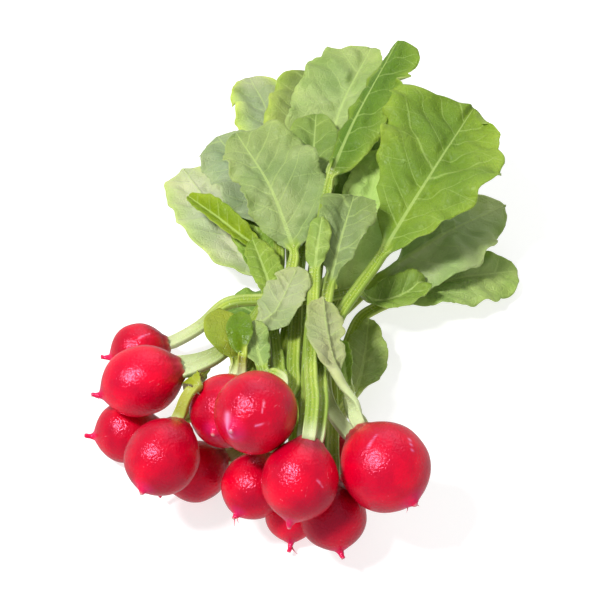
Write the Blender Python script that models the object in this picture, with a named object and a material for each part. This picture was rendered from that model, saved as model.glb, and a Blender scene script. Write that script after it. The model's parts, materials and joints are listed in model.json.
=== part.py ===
"""A bunch of round red radishes lying on a table, roots to the front and leaves to the back.

Every root is one solid: a lathe shape with a crown at one end and a thin tail at the other.
Every leaf is one solid too: a channelled stalk that becomes the midrib of a thin waved blade.
Leaves are laid down one after another on a height map of the heap, as a hand would lay them,
so each one rests just clear of what is below it.

All design values are in millimetres. X is to the right, Y runs from the roots to the leaf tips,
and Z is up, with the table at 0.
"""

import math
from collections import namedtuple

import bmesh
import bpy
import numpy as np
from mathutils import Matrix, Vector

MM = 0.001

# ---------------------------------------------------------------- driving sizes
ROOT_SIDES = 14
CROWN_GAP = 0.35  # between a root's crown and the cut of its stalks
FLAT_DEPTH = 0.5  # how much of a root's underside is pressed flat on the table

STALK_HALF_WIDTH = 2.4
STALK_DEPTH = 3.4
NECK_HALF_WIDTH = 1.8  # of a stalk where its blade begins
BLADE_THICK = 0.75
RIB_THICK = 1.5
CHANNEL_DEPTH = 0.35

COLUMNS = 7  # points across a leaf
STALK_ROWS = 6
LAY_GAP = 0.7  # clear height between a leaf and what it lies on
FINER = (24, 16)  # samples for each row and column while a leaf is laid

# ---------------------------------------------------------------- the roots
# centre, radius, direction from the centre to the crown, length over width, tail length,
# how far the tail's tip bends aside, and the layer of the heap it lies in
Root = namedtuple("Root", "centre radius crown stretch tail bend layer")

ROOTS = {
    "root_01": Root((-68, 11, 11.2), 11.6, (0.97, 0.20, 0.10), 1.00, 4.0, (0.0, -1.0), 0),
    "root_02": Root((-64, -24, 37.8), 14.0, (0.94, 0.26, 0.20), 1.15, 4.0, (0.5, -1.0), 1),
    "root_03": Root((-71, -31, 12.2), 12.7, (0.99, 0.12, 0.05), 1.00, 4.0, (1.0, 0.0), 0),
    "root_04": Root((-54, -62, 39.5), 14.5, (0.45, 0.88, 0.10), 1.05, 2.0, (0.0, 0.5), 1),
    "root_05": Root((-42, -50, 11.7), 12.2, (0.87, 0.42, 0.25), 1.04, 5.0, (-0.5, 1.0), 0),
    "root_06": Root((-29.5, -40, 40.0), 14.3, (0.27, 0.91, -0.32), 1.06, 1.5, (0.0, 0.0), 1),
    "root_07": Root((-17, -58.5, 65.0), 15.7, (0.51, 0.76, -0.40), 1.04, 1.5, (0.0, 0.0), 1),
    "root_08": Root((-18.5, -68, 28.2), 12.5, (0.44, 0.89, 0.10), 1.05, 2.5, (0.0, -0.5), 0),
    "root_09": Root((0, -79.5, 49.5), 14.8, (0.24, 0.80, 0.54), 1.03, 3.0, (-0.5, 0.0), 1),
    "root_10": Root((13, -79, 24.0), 13.1, (-0.18, 0.88, 0.42), 1.02, 3.5, (1.0, 0.5), 0),
    "root_11": Root((-3.5, -69, 9.9), 10.6, (0.02, 0.88, 0.46), 1.04, 4.0, (1.0, -0.5), 0),
    "root_12": Root((33, -71, 46.0), 17.3, (-0.58, 0.82, 0.10), 1.01, 2.0, (0.0, 0.0), 1),
    "root_13": Root((18, -43, 11.0), 11.4, (-0.30, 0.90, 0.28), 1.02, 4.0, (0.0, 0.0), 0),
}

# The lathe profile of a root from crown to tail: distance along the axis and from it, in radii.
GLOBE_PROFILE = [
    (1.04, 0.35),
    (0.98, 0.43),
    (0.87, 0.57),
    (0.66, 0.78),
    (0.35, 0.955),
    (0.00, 1.00),
    (-0.36, 0.945),
    (-0.66, 0.76),
    (-0.87, 0.49),
    (-0.99, 0.25),
]
TAIL_BASE_RADIUS = 0.12  # in root radii
TAIL_TIP_RADIUS = 0.7

# ---------------------------------------------------------------- the leaves
# the root it grows from, where its stalk stands on the crown (aside, above), the points that
# its midrib runs through, which of them begins the blade, half widths left and right of the
# midrib, how each half rises from the midrib and the roll about it in degrees, its colour,
# the shape of its outline, left and right if they differ, and the rows of points in its blade
Leaf = namedtuple("Leaf", "root place path blade_at half fold roll kind shape rows")

LOWER_LEAVES = {
    "leaf_03": Leaf(
        "root_13", (2.5, 0),
        [(17, -5, 10), (24, 27, 10), (38, 38, 11), (62, 46, 15), (94, 60, 4)],
        2, (12, 15), (12, 4), -6, "green", "long", 10,
    ),
    "leaf_01": Leaf(
        "root_13", (1.5, 3.6),
        [(17, -26, 15), (23, -10, 11), (27, 8, 11), (29, 27, 12)],
        1, (9, 10), (8, 6), 8, "green", "early", 8,
    ),
    "leaf_02": Leaf(
        "root_05", (-2.6, 0),
        [(-25, -26, 10), (-15, 16, 9), (-20, 32, 10), (-32, 43, 3)],
        1, (11, 12), (6, 6), 0, "green", "long", 8,
    ),
    "leaf_04": Leaf(
        "root_11", (0, 0),
        [(-2, -30, 10), (-3, 30, 10), (-5, 86, 13), (-14, 138, 17), (-23, 171, 8)],
        2, (15, 17), (8, 4), 0, "green", "round", 10,
    ),
    "leaf_05": Leaf(
        "root_03", (0, 0),
        [(-30, -8, 10), (0, 14, 11), (34, 45, 16), (60, 61, 25), (88, 83, 19)],
        2, (20, 17), (6, 6), 4, "pale", "early late", 11,
    ),
    "leaf_06": Leaf(
        "root_05", (2.6, 0),
        [(-17, -30, 11), (-5, 20, 12), (-3, 88, 16), (-2, 128, 23), (2, 164, 20)],
        2, (14, 8), (8, 10), 0, "green", "round", 11,
    ),
    "leaf_08": Leaf(
        "root_13", (-2.5, 0),
        [(10, -8, 14), (14, 36, 17), (20, 56, 20), (28, 84, 26), (38, 118, 28)],
        2, (15, 14), (14, 10), -6, "green", "round", 9,
    ),
    "leaf_07": Leaf(
        "root_10", (-2.6, 0),
        [(2, -32, 17), (-5, 20, 15), (-13, 44, 17), (-32, 70, 20), (-52, 114, 8)],
        2, (14, 16), (-6, -4), 0, "pale", "round", 12,
    ),
    "leaf_25": Leaf(
        "root_10", (2.6, 0),
        [(13, -40, 27), (13, 0, 24), (18, 30, 26), (26, 58, 32), (35, 100, 37)],
        2, (12, 13), (10, 6), 0, "green", "round", 9,
    ),
    "leaf_26": Leaf(
        "root_08", (-2.6, 0),
        [(-14, -24, 21), (-14, 14, 21), (-14, 34, 24), (-18, 60, 28), (-24, 88, 28)],
        2, (11, 12), (8, 10), 0, "green", "long", 8,
    ),
    "leaf_09": Leaf(
        "root_08", (2.6, 0),
        [(-7, -22, 20), (3, 20, 16), (10, 84, 22), (17, 128, 30), (32, 172, 26)],
        2, (22, 13), (12, 24), 0, "green", "round", 11,
    ),
    "leaf_10": Leaf(
        "root_01", (0, 0),
        [(-28, 26, 13), (5, 24, 15), (25, 29, 17), (42, 33, 20), (53, 39, 12)],
        2, (9, 9), (36, 30), 0, "green", "long", 8,
    ),
}

UPPER_LEAVES = {
    "leaf_11": Leaf(
        "root_04", (-2.6, 0),
        [(-41, -36, 31), (-43, -27, 28), (-42, -17, 26), (-39, -3, 24)],
        0, (5, 6), (12, 8), 38, "yellow", "long", 8,
    ),
    "leaf_12": Leaf(
        "root_02", (-2.6, 0),
        [(-30, -4, 34), (-12, 25, 28), (-10, 59, 28), (-22, 88, 34), (-36, 117, 27)],
        2, (16, 15), (8, 4), 6, "green", "round", 11,
    ),
    "leaf_13": Leaf(
        "root_02", (2.6, 0),
        [(-30, -10, 36), (-14, 16, 31), (-15, 44, 30), (-30, 60, 34), (-48, 81, 29)],
        2, (6, 7), (42, 36), 10, "green", "long", 9,
    ),
    "leaf_17": Leaf(
        "root_07", (2.6, 0),
        [(-3, -20, 41), (-1, 30, 36), (2, 60, 36), (5, 86, 38), (7, 120, 38)],
        2, (13, 12), (12, 16), 0, "green", "round", 9,
    ),
    "leaf_24": Leaf(
        "root_07", (-2.6, 0),
        [(-8.5, -20, 41), (-11, 8, 36), (-13, 24, 36), (-20, 50, 36)],
        1, (7, 8), (30, 20), 0, "green", "long", 7,
    ),
    "leaf_14": Leaf(
        "root_06", (2.6, -0.8),
        [(-14, -2, 34), (-5, 24, 34), (-3, 42, 36), (-12, 70, 46), (-27, 104, 43)],
        2, (13, 24), (8, 4), 4, "green", "round", 12,
    ),
    "leaf_16": Leaf(
        "root_09", (-2.6, 0),
        [(3, -28, 43), (6, 20, 37), (13, 74, 38), (23, 107, 47), (43, 155, 48)],
        2, (11, 15), (-58, 14), 0, "green", "long full", 12,
    ),
    "leaf_15": Leaf(
        "root_12", (-2.6, -0.8),
        [(10, -28, 39), (14, 5, 38), (34, 40, 41), (52, 69, 50), (74, 114, 45)],
        2, (33, 28), (8, 8), 8, "green", "late winged", 13,
    ),
    "leaf_18": Leaf(
        "root_09", (2.6, 0),
        [(8, -26, 43), (10, 6, 41), (12, 21, 42), (16, 37, 49), (22, 60, 51)],
        2, (13, 13), (24, 20), 0, "green", "late", 9,
    ),
    "leaf_21": Leaf(
        "root_12", (3.4, -0.8),
        [(20, -38, 40), (19, -28, 38), (18, -17, 38), (17, -3, 36)],
        1, (4, 4), (20, 20), 20, "green", "long", 6,
    ),
    "leaf_28": Leaf(
        "root_09", (0, 3.9),
        [(4, -30, 48), (5, 0, 45), (6, 24, 46), (9, 46, 47)],
        2, (5, 5), (10, 10), 0, "green", "round", 7,
    ),
    "leaf_19": Leaf(
        "root_06", (-2.6, -0.8),
        [(-23, -11, 40), (-18, -4, 44), (-10, 3, 47), (-1, 26, 47)],
        1, (9, 9), (-14, -10), 0, "pale", "round", 8,
    ),
    "leaf_20": Leaf(
        "root_12", (0.8, 3.2),
        [(19, -42, 47), (14, -31, 47), (11, -19, 49), (9, 7, 48)],
        1, (8, 8), (-20, -20), 0, "pale", "round", 8,
    ),
    "leaf_27": Leaf(
        "root_07", (0, 3.6),
        [(-13, -34, 56), (-15, -25, 50), (-17, -15, 46), (-18, -3, 44)],
        1, (5, 5), (10, 10), 0, "green", "round", 7,
    ),
    "leaf_22": Leaf(
        "root_06", (-3.0, 3.4),
        [(-26, -16, 38), (-29, -9, 42), (-31, -2, 43), (-33, 10, 41)],
        0, (8, 8), (-4, -4), -10, "seed", "seed", 7,
    ),
    "leaf_23": Leaf(
        "root_06", (0.8, 3.4),
        [(-23, -17, 40), (-24, -11, 43), (-25, -5, 46), (-26, 3, 46)],
        0, (5, 6), (14, 14), 10, "seed", "seed", 7,
    ),
}

# Half width of a blade along its length, from its foot to its tip, in shares of the widest.
OUTLINES = {
    "long": [
        (0, 0), (0.1, 0.32), (0.2, 0.6), (0.35, 0.88), (0.5, 1),
        (0.65, 1), (0.8, 0.9), (0.92, 0.62), (1, 0.26),
    ],
    "broad": [
        (0, 0), (0.08, 0.46), (0.18, 0.8), (0.3, 0.95), (0.5, 1),
        (0.7, 0.93), (0.85, 0.74), (0.95, 0.5), (1, 0.26),
    ],
    "round": [
        (0, 0), (0.08, 0.42), (0.18, 0.74), (0.32, 0.95), (0.5, 1),
        (0.7, 0.98), (0.85, 0.86), (0.95, 0.64), (1, 0.36),
    ],
    "early": [
        (0, 0), (0.06, 0.42), (0.16, 0.78), (0.3, 0.97), (0.5, 1),
        (0.68, 0.84), (0.84, 0.58), (1, 0.2),
    ],
    "late": [
        (0, 0), (0.12, 0.2), (0.3, 0.5), (0.5, 0.76), (0.7, 0.92),
        (0.86, 1), (0.95, 0.94), (1, 0.68),
    ],
    "full": [
        (0, 0), (0.1, 0.45), (0.2, 0.75), (0.35, 0.95), (0.5, 1),
        (0.8, 0.97), (0.95, 0.9), (1, 0.66),
    ],
    "winged": [
        (0, 0), (0.11, 0.38), (0.26, 0.7), (0.41, 0.9), (0.57, 1),
        (0.7, 0.92), (0.83, 0.7), (0.92, 0.5), (1, 0.28),
    ],
    "seed": [(0, 0.1), (0.15, 0.6), (0.3, 0.9), (0.5, 1), (0.7, 0.97), (0.88, 0.75), (1, 0.38)],
}
SCALLOP = 0.035  # how far the edge steps in and out, as a share of the half width
WAVE = 0.085  # height of the waves along the edge, as a share of the half width

COLOURS = {
    "root_skin": ((0.62, 0.015, 0.045, 1), 0.32),
    "leaf_green": ((0.20, 0.36, 0.075, 1), 0.55),
    "leaf_pale": ((0.42, 0.52, 0.24, 1), 0.65),
    "leaf_yellow": ((0.50, 0.50, 0.10, 1), 0.55),
    "leaf_seed": ((0.26, 0.42, 0.05, 1), 0.45),
}


# ---------------------------------------------------------------- helpers
def clear_scene():
    for obj in list(bpy.data.objects):
        bpy.data.objects.remove(obj)


def material(name):
    """A plain finish of the piece's own colour."""
    colour, roughness = COLOURS[name]
    made = bpy.data.materials.new(name)
    made.use_nodes = True
    shader = made.node_tree.nodes["Principled BSDF"]
    shader.inputs["Base Color"].default_value = colour
    shader.inputs["Roughness"].default_value = roughness
    return made


def add_object(name, bm, finish, parent):
    mesh = bpy.data.meshes.new(name)
    bm.to_mesh(mesh)
    bm.free()
    mesh.materials.append(finish)
    mesh.shade_smooth()
    mesh.set_sharp_from_angle(angle=math.radians(50))
    obj = bpy.data.objects.new(name, mesh)
    bpy.context.scene.collection.objects.link(obj)
    obj.parent = parent
    return obj


# ---------------------------------------------------------------- roots
def root_axis(root):
    return Vector(root.crown).normalized()


def crown_point(root):
    """The middle of the flat crown that the stalks stand on."""
    reach = GLOBE_PROFILE[0][0] * root.radius * root.stretch
    return Vector(root.centre) + root_axis(root) * reach


def root_profile(root):
    """(distance along the axis, distance from it) from the crown's middle to the tail's tip."""
    r, long = root.radius, root.radius * root.stretch
    points = [(GLOBE_PROFILE[0][0] * long, 0.0)]
    points += [(along * long, out * r) for along, out in GLOBE_PROFILE]
    tail_start, tail_end = -1.06 * long, -1.02 * long - root.tail
    points.append((tail_start, TAIL_BASE_RADIUS * r))
    points.append(((tail_start + tail_end) / 2, (TAIL_BASE_RADIUS * r + TAIL_TIP_RADIUS) / 2.2))
    points.append((tail_end, TAIL_TIP_RADIUS))
    points.append((tail_end - 0.3, 0.0))
    return points


def make_root(name, root, finish, parent):
    """A turned globe with its tail bent a little, cut flat where it sits on the table."""
    bm = bmesh.new()
    verts = [bm.verts.new((out * MM, 0, along * MM)) for along, out in root_profile(root)]
    edges = [bm.edges.new(pair) for pair in zip(verts, verts[1:])]
    bmesh.ops.spin(
        bm, geom=verts + edges, cent=(0, 0, 0), axis=(0, 0, 1),
        angle=2 * math.pi, steps=ROOT_SIDES, use_merge=True,
    )
    bmesh.ops.remove_doubles(bm, verts=bm.verts, dist=0.00001)
    bmesh.ops.recalc_face_normals(bm, faces=bm.faces)
    tail_top = -root.radius * root.stretch * MM
    for v in bm.verts:
        past = max(0.0, (tail_top - v.co.z) / (root.tail * MM))
        v.co.x += root.bend[0] * MM * past**2
        v.co.y += root.bend[1] * MM * past**2
    turn = root_axis(root).to_track_quat("Z", "X").to_matrix().to_4x4()
    place = Matrix.Translation(Vector(root.centre) * MM) @ turn
    if root.layer == 0:
        inverse = place.inverted()
        cut = bmesh.ops.bisect_plane(
            bm, geom=bm.verts[:] + bm.edges[:] + bm.faces[:], dist=1e-7,
            plane_co=inverse @ Vector((0, 0, 0)),
            plane_no=inverse.to_3x3() @ Vector((0, 0, -1)), clear_outer=True,
        )
        rim = [e for e in cut["geom_cut"] if isinstance(e, bmesh.types.BMEdge)]
        bmesh.ops.contextual_create(bm, geom=rim)
    bmesh.ops.recalc_face_normals(bm, faces=bm.faces)
    obj = add_object(name, bm, finish, parent)
    obj.matrix_local = place
    return obj


# ---------------------------------------------------------------- the heap
class Heap:
    """A height map of all that lies on the table so far, seen from above."""

    CELL = 0.5
    LOW = np.array([-120.0, -110.0])
    SHAPE = (480, 640)

    def __init__(self):
        self.top = np.full(self.SHAPE, -LAY_GAP)

    def cells(self, points):
        index = np.rint((points[..., :2] - self.LOW) / self.CELL).astype(int)
        return np.clip(index, 0, np.array(self.SHAPE) - 1)

    def height_at(self, points):
        """The highest thing within a cell of each point."""
        padded = np.pad(self.top, 1)
        rows, columns = self.SHAPE
        around = [padded[i : i + rows, j : j + columns] for i in range(3) for j in range(3)]
        index = self.cells(points)
        return np.maximum.reduce(around)[index[..., 0], index[..., 1]]

    def add(self, points):
        index = self.cells(points)
        np.maximum.at(self.top, (index[..., 0], index[..., 1]), points[..., 2])

    def add_root(self, root):
        """The upper half of a root's globe."""
        span = np.linspace(-1, 1, 61)
        x, y = np.meshgrid(span, span)
        inside = x**2 + y**2 < 1
        x, y = x[inside] * root.radius, y[inside] * root.radius
        z = np.sqrt(root.radius**2 - x**2 - y**2)
        self.add(np.stack([x, y, z], -1) + np.array(root.centre))


# ---------------------------------------------------------------- leaves
def smooth_curve(points, first_direction, samples=24):
    """A Catmull-Rom curve through the points that leaves the first one in the given direction."""
    before = points[1] - 2 * first_direction * np.linalg.norm(points[1] - points[0])
    after = 2 * points[-1] - points[-2]
    p = np.array([before, *points, after])
    t = np.linspace(0, 1, samples, endpoint=False)[:, None]
    pieces = []
    for a, b, c, d in zip(p, p[1:], p[2:], p[3:]):
        bend = 2 * a - 5 * b + 4 * c - d
        pieces.append(0.5 * (2 * b + (c - a) * t + bend * t**2 + (3 * b - a - 3 * c + d) * t**3))
    return np.vstack([*pieces, points[-1]])


def stations(curve, blade_start, blade_rows):
    """Places along the midrib for the rows of a leaf, closer together in the blade."""
    length = np.concatenate([[0], np.cumsum(np.linalg.norm(np.diff(curve, axis=0), axis=1))])
    foot = length[blade_start]
    stalk = np.linspace(0, foot, STALK_ROWS, endpoint=False)
    blade = np.linspace(foot, length[-1], blade_rows + 1)
    along = np.concatenate([stalk, blade])
    place = np.stack([np.interp(along, length, curve[:, k]) for k in range(3)], 1)
    ahead = np.stack([np.interp(along + 0.5, length, curve[:, k]) for k in range(3)], 1)
    behind = np.stack([np.interp(along - 0.5, length, curve[:, k]) for k in range(3)], 1)
    tangent = ahead - behind
    tangent /= np.linalg.norm(tangent, axis=1)[:, None]
    return place, tangent, along / foot, (along - foot) / (length[-1] - foot)


def leaf_surfaces(name, leaf):
    """The upper and the under side of a leaf, each an array of rows by columns of points."""
    root = ROOTS[leaf.root]
    axis = np.array(root_axis(root))
    sideways = np.array([axis[1], -axis[0], 0]) / math.hypot(axis[0], axis[1])
    above = np.cross(sideways, axis)
    start = np.array(crown_point(root)) + axis * CROWN_GAP
    start = start + sideways * leaf.place[0] + above * (leaf.place[1] + STALK_DEPTH / 2)
    points = [start] + [np.array(p, float) for p in leaf.path]
    samples = 24
    curve = smooth_curve(points, axis, samples)
    place, tangent, down_stalk, up_blade = stations(curve, samples * (leaf.blade_at + 1), leaf.rows)

    chance = np.random.default_rng(int(name[-2:]))
    is_blade = up_blade > 0
    slim = 0.62 if leaf.kind == "seed" else 1.0
    stalk_half = slim * np.interp(down_stalk, [0, 1], [STALK_HALF_WIDTH, NECK_HALF_WIDTH])
    step = np.where(np.arange(len(place)) % 2 == 0, 1.0, -1.0)
    outlines = leaf.shape.split() * 2
    halves = []
    for way, half, outline in zip((1, -1), leaf.half, outlines):
        breadth = np.interp(up_blade, *zip(*OUTLINES[outline]))
        scallop = 0 if leaf.kind == "seed" else SCALLOP * np.minimum(1, 4 * breadth)
        wide = np.maximum(half * (breadth + way * scallop * step), NECK_HALF_WIDTH)
        halves.append(np.where(is_blade, wide, stalk_half))

    turned = math.pi if leaf.kind == "pale" else 0.0
    twist = turned + math.radians(leaf.roll)
    roll = twist * np.clip(down_stalk, 0, 1) ** 1.5
    folds = [math.radians(fold) * np.clip(up_blade * 5 + 0.1, 0, 1) for fold in leaf.fold]
    phase = chance.uniform(0, 2 * math.pi, 2)
    beats = 2.4 + 1.2 * chance.random()

    upper = np.empty((len(place), COLUMNS, 3))
    under = np.empty_like(upper)
    for row in range(len(place)):
        ahead = tangent[row]
        flat = np.array([ahead[1], -ahead[0], 0]) / math.hypot(ahead[0], ahead[1])
        up = np.cross(flat, ahead)
        across = flat * math.cos(roll[row]) + up * math.sin(roll[row])
        face = np.cross(across, ahead)
        for column in range(COLUMNS):
            share = 2 * column / (COLUMNS - 1) - 1
            side = 0 if share < 0 else 1
            fold = folds[side][row]
            out = abs(share) * halves[side][row]
            channel = -CHANNEL_DEPTH * (1 - share**2)
            wave = 0.0
            if is_blade[row]:
                channel *= 1 - min(1, up_blade[row] * 4)
                swell = min(1.0, up_blade[row] * 4) * share**2 * leaf.half[side]
                wave = WAVE * swell * math.sin(2 * math.pi * beats * up_blade[row] + phase[side])
            upper[row, column] = (
                place[row]
                + across * math.copysign(out * math.cos(fold), share)
                + face * (out * math.sin(fold) + channel + wave)
            )
    normals = grid_normals(upper)
    normals[0] = above
    shares = np.linspace(-1, 1, COLUMNS)
    for row in range(len(place)):
        if is_blade[row]:
            fade = min(1.0, up_blade[row] / 0.16)
            keel = RIB_THICK + (STALK_DEPTH * 0.72 * slim - RIB_THICK) * (1 - fade)
            round_off = (1 - shares**2) ** 0.5 * (1 - fade) + (np.abs(shares) < 0.1) * fade
        else:
            keel = STALK_DEPTH * slim * (1 - 0.28 * down_stalk[row])
            round_off = (1 - shares**2) ** 0.5
        thick = BLADE_THICK + (keel - BLADE_THICK) * round_off
        under[row] = upper[row] - normals[row] * thick[:, None]
    return upper, under


def grid_normals(points):
    """Unit normals of a grid of points, rows running forward and columns to the right."""
    down_rows = np.gradient(points, axis=0)
    along_columns = np.gradient(points, axis=1)
    normal = np.cross(along_columns, down_rows)
    return normal / np.linalg.norm(normal, axis=2)[..., None]


def densify(points):
    """Points of the same surface, closer together."""
    for axis, times in enumerate(FINER):
        count = points.shape[axis]
        at = np.linspace(0, count - 1, (count - 1) * times + 1)
        low = np.minimum(at.astype(int), count - 2)
        share = (at - low).reshape([-1 if k == axis else 1 for k in range(3)])
        points = np.take(points, low, axis) * (1 - share) + np.take(points, low + 1, axis) * share
    return points


def lay_on(heap, root, upper, under):
    """Raises a leaf until all of it is clear of the heap, then adds it to the heap."""
    low = np.minimum(densify(upper), densify(under))
    short = np.maximum(0, heap.height_at(low) + LAY_GAP - low[..., 2])
    from_root = np.linalg.norm(low[..., :2] - root.centre[:2], axis=-1)
    short[from_root < root.radius * 1.15] = 0
    rows, columns = upper.shape[:2]
    lift = np.zeros((rows, columns))
    for row in range(rows):
        near_row = slice(max(0, (row - 1) * FINER[0]), (row + 1) * FINER[0] + 1)
        for column in range(columns):
            near_column = slice(max(0, (column - 1) * FINER[1]), (column + 1) * FINER[1] + 1)
            lift[row, column] = short[near_row, near_column].max()
    lift[:STALK_ROWS] = lift[:STALK_ROWS].max(axis=1)[:, None]
    lift = soften(lift)
    lift[0] = 0
    lift[1] *= 0.6
    for surface in (upper, under):
        surface[..., 2] += lift
    heap.add(np.maximum(densify(upper), densify(under)))


def soften(lift, passes=3):
    """Spreads each raised place to its neighbours, and never lowers it."""
    for _ in range(passes):
        padded = np.pad(lift, 1, mode="edge")
        mean = (padded[:-2, 1:-1] + padded[2:, 1:-1] + padded[1:-1, :-2] + padded[1:-1, 2:]) / 4
        lift = np.maximum(lift, mean)
    return lift


def make_leaf(name, upper, under, finish, parent):
    """One closed thin solid: a grid shaped as the upper side, extruded to the under side."""
    rows, columns = upper.shape[:2]
    bm = bmesh.new()
    bmesh.ops.create_grid(bm, x_segments=columns - 1, y_segments=rows - 1, size=1)
    index = {
        v: (round((v.co.y + 1) / 2 * (rows - 1)), round((v.co.x + 1) / 2 * (columns - 1)))
        for v in bm.verts
    }
    bmesh.ops.triangulate(bm, faces=bm.faces, quad_method="FIXED")
    foot = Vector(upper[0, columns // 2])
    made = bmesh.ops.extrude_face_region(bm, geom=bm.faces[:], use_keep_orig=True)
    lower_verts = [v for v in made["geom"] if isinstance(v, bmesh.types.BMVert)]
    for v in lower_verts:
        row = round((v.co.y + 1) / 2 * (rows - 1))
        column = round((v.co.x + 1) / 2 * (columns - 1))
        v.co = (Vector(under[row, column]) - foot) * MM
    for v, (row, column) in index.items():
        v.co = (Vector(upper[row, column]) - foot) * MM
    bmesh.ops.triangulate(bm, faces=[f for f in bm.faces if len(f.verts) > 3])
    bmesh.ops.recalc_face_normals(bm, faces=bm.faces)
    obj = add_object(name, bm, finish, parent)
    obj.location = foot * MM
    return obj


# ---------------------------------------------------------------- the bunch
def main():
    clear_scene()
    finishes = {name: material(name) for name in COLOURS}
    bunch = bpy.data.objects.new("bunch", None)
    bpy.context.scene.collection.objects.link(bunch)
    heap = Heap()
    made = []
    for layer, leaves in enumerate((LOWER_LEAVES, UPPER_LEAVES)):
        for name, root in ROOTS.items():
            if root.layer == layer:
                heap.add_root(root)
                made.append(make_root(name, root, finishes["root_skin"], bunch))
        for name, leaf in leaves.items():
            upper, under = leaf_surfaces(name, leaf)
            lay_on(heap, ROOTS[leaf.root], upper, under)
            made.append(make_leaf(name, upper, under, finishes["leaf_" + leaf.kind], bunch))

    bpy.context.view_layer.update()
    corners = [obj.matrix_world @ v.co for obj in made for v in obj.data.vertices]
    middle = [(min(c[k] for c in corners) + max(c[k] for c in corners)) / 2 for k in range(2)]
    bunch.location = (-middle[0], -middle[1], 0)


main()
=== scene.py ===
# %% [markdown]
# # A bunch of radishes
# Each root and each leaf of the CAD part is a plain solid with the right place, size and pose.
# This notebook replaces every one of them with a finer piece that keeps its form, and adds what
# you'd see from a step away: veins, toothed rims, ribbed stalks, crowns, skin and scrapes.
# Blender measures in metres. Where a value is in millimetres, its comment says so.

import json
import math
from types import SimpleNamespace

import bmesh
import bpy
import numpy as np
from mathutils import Matrix, Vector


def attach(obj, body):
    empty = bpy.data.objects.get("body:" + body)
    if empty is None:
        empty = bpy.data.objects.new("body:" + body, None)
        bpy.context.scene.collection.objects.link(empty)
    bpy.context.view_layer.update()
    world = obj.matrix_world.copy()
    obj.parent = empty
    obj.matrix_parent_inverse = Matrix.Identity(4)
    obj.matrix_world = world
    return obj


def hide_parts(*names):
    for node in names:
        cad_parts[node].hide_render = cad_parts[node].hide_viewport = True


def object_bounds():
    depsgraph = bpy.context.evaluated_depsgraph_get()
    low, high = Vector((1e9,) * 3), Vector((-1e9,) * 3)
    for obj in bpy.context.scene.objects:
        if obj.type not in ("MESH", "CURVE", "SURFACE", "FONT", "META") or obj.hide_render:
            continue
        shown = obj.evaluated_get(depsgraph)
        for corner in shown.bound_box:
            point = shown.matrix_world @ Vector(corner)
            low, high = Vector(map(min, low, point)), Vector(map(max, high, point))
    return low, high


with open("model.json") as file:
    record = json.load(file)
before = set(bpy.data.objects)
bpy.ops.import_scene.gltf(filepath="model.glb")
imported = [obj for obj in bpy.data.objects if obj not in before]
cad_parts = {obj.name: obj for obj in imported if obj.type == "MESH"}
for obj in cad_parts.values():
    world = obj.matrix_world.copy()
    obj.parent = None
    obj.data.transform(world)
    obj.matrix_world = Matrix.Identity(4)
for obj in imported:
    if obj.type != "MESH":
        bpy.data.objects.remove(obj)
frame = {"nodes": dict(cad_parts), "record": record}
cad_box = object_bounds()
MM = 1e3  # millimetres in a metre
NODES = sorted(frame["nodes"])
SLOT = {s["node"]: s["material_slot"] for s in frame["record"]["subparts"]}
print(len(NODES), "pieces in the frame")


# %% [markdown]
# ## Reading the frame
# A leaf of the frame is a tube of rings: 7 points over the top, 7 points under it, ring after
# ring from the cut of the stalk to the tip. If you know the rings, you know where every part of
# the leaf is. The frame holds loose triangles, so they're joined first: corners that lie at the
# same place become one vertex, and then the mesh can be walked from edge to edge.

# %% A joined mesh
AROUND = 14  # points in a ring
ACROSS = AROUND // 2  # points over its top


def merged(node):
    """The frame's mesh of a node with its loose triangles joined."""
    bm = bmesh.new()
    bm.from_mesh(frame["nodes"][node].data)
    bmesh.ops.remove_doubles(bm, verts=bm.verts, dist=2e-6)
    bm.verts.ensure_lookup_table()
    return bm


sample = merged("leaf_01")
print("leaf_01 has", len(sample.verts), "joined vertices in the frame")
sample.free()


# %% [markdown]
# ## Flat patches
# The cut of a stalk and the crown of a root are flat, and a flat patch is easy to find. Start at
# one triangle, take in each neighbour that lies in its plane, then the neighbours of those, and
# so on until none is left. Blender's own linked-flat-faces tool does the same in edit mode, but
# a short loop also gives the patch's vertices and lets the limit be a distance.

# %% Flat patches
def flat_patch(face, off_plane):
    """The vertices of the joined faces that lie in one face's plane."""
    here = face.verts[0].co
    patch = {face}
    growing = [face]
    for one in growing:
        for other in (f for e in one.edges for f in e.link_faces):
            flat = all(abs((v.co - here).dot(face.normal)) < off_plane for v in other.verts)
            if flat and other not in patch:
                patch.add(other)
                growing.append(other)
    return {v for f in patch for v in f.verts}


sample = merged("leaf_01")
first = next(iter(sample.faces))
print("corners of the first flat patch of leaf_01:", len(flat_patch(first, 2e-5)))
sample.free()


# %% [markdown]
# ## Rings of a leaf
# A patch of exactly 14 points may be the cut. From there the mesh is walked outwards one edge at
# a time, and each step is a ring. A flat strip of the blade can have 14 points too, so the patch
# must not be much wider than it is high. Solids are never perfectly flat, so the search starts
# strict and becomes more forgiving only while it finds nothing.

# %% Rings of a leaf
FLAT_WITHIN = (2e-5, 6e-5, 1e-4, 2e-4, 3e-4)  # how far off the plane, the strictest first
HIGH_ENOUGH = 0.3  # of the patch's width


def layers_from(start):
    """Sets of vertices, each one edge further from the first set."""
    seen, layers = set(start), [set(start)]
    while layers[-1]:
        around = {e.other_vert(v) for v in layers[-1] for e in v.link_edges}
        layers.append(around - seen)
        seen |= around
    return layers[:-1]


def height_to_width(verts):
    """How thick a flat patch is for its width, from 0 for a line to 1 for a circle."""
    points = np.array([v.co for v in verts])
    spread = np.linalg.svd(points - points.mean(axis=0))[1]
    return spread[1] / spread[0]


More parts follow.
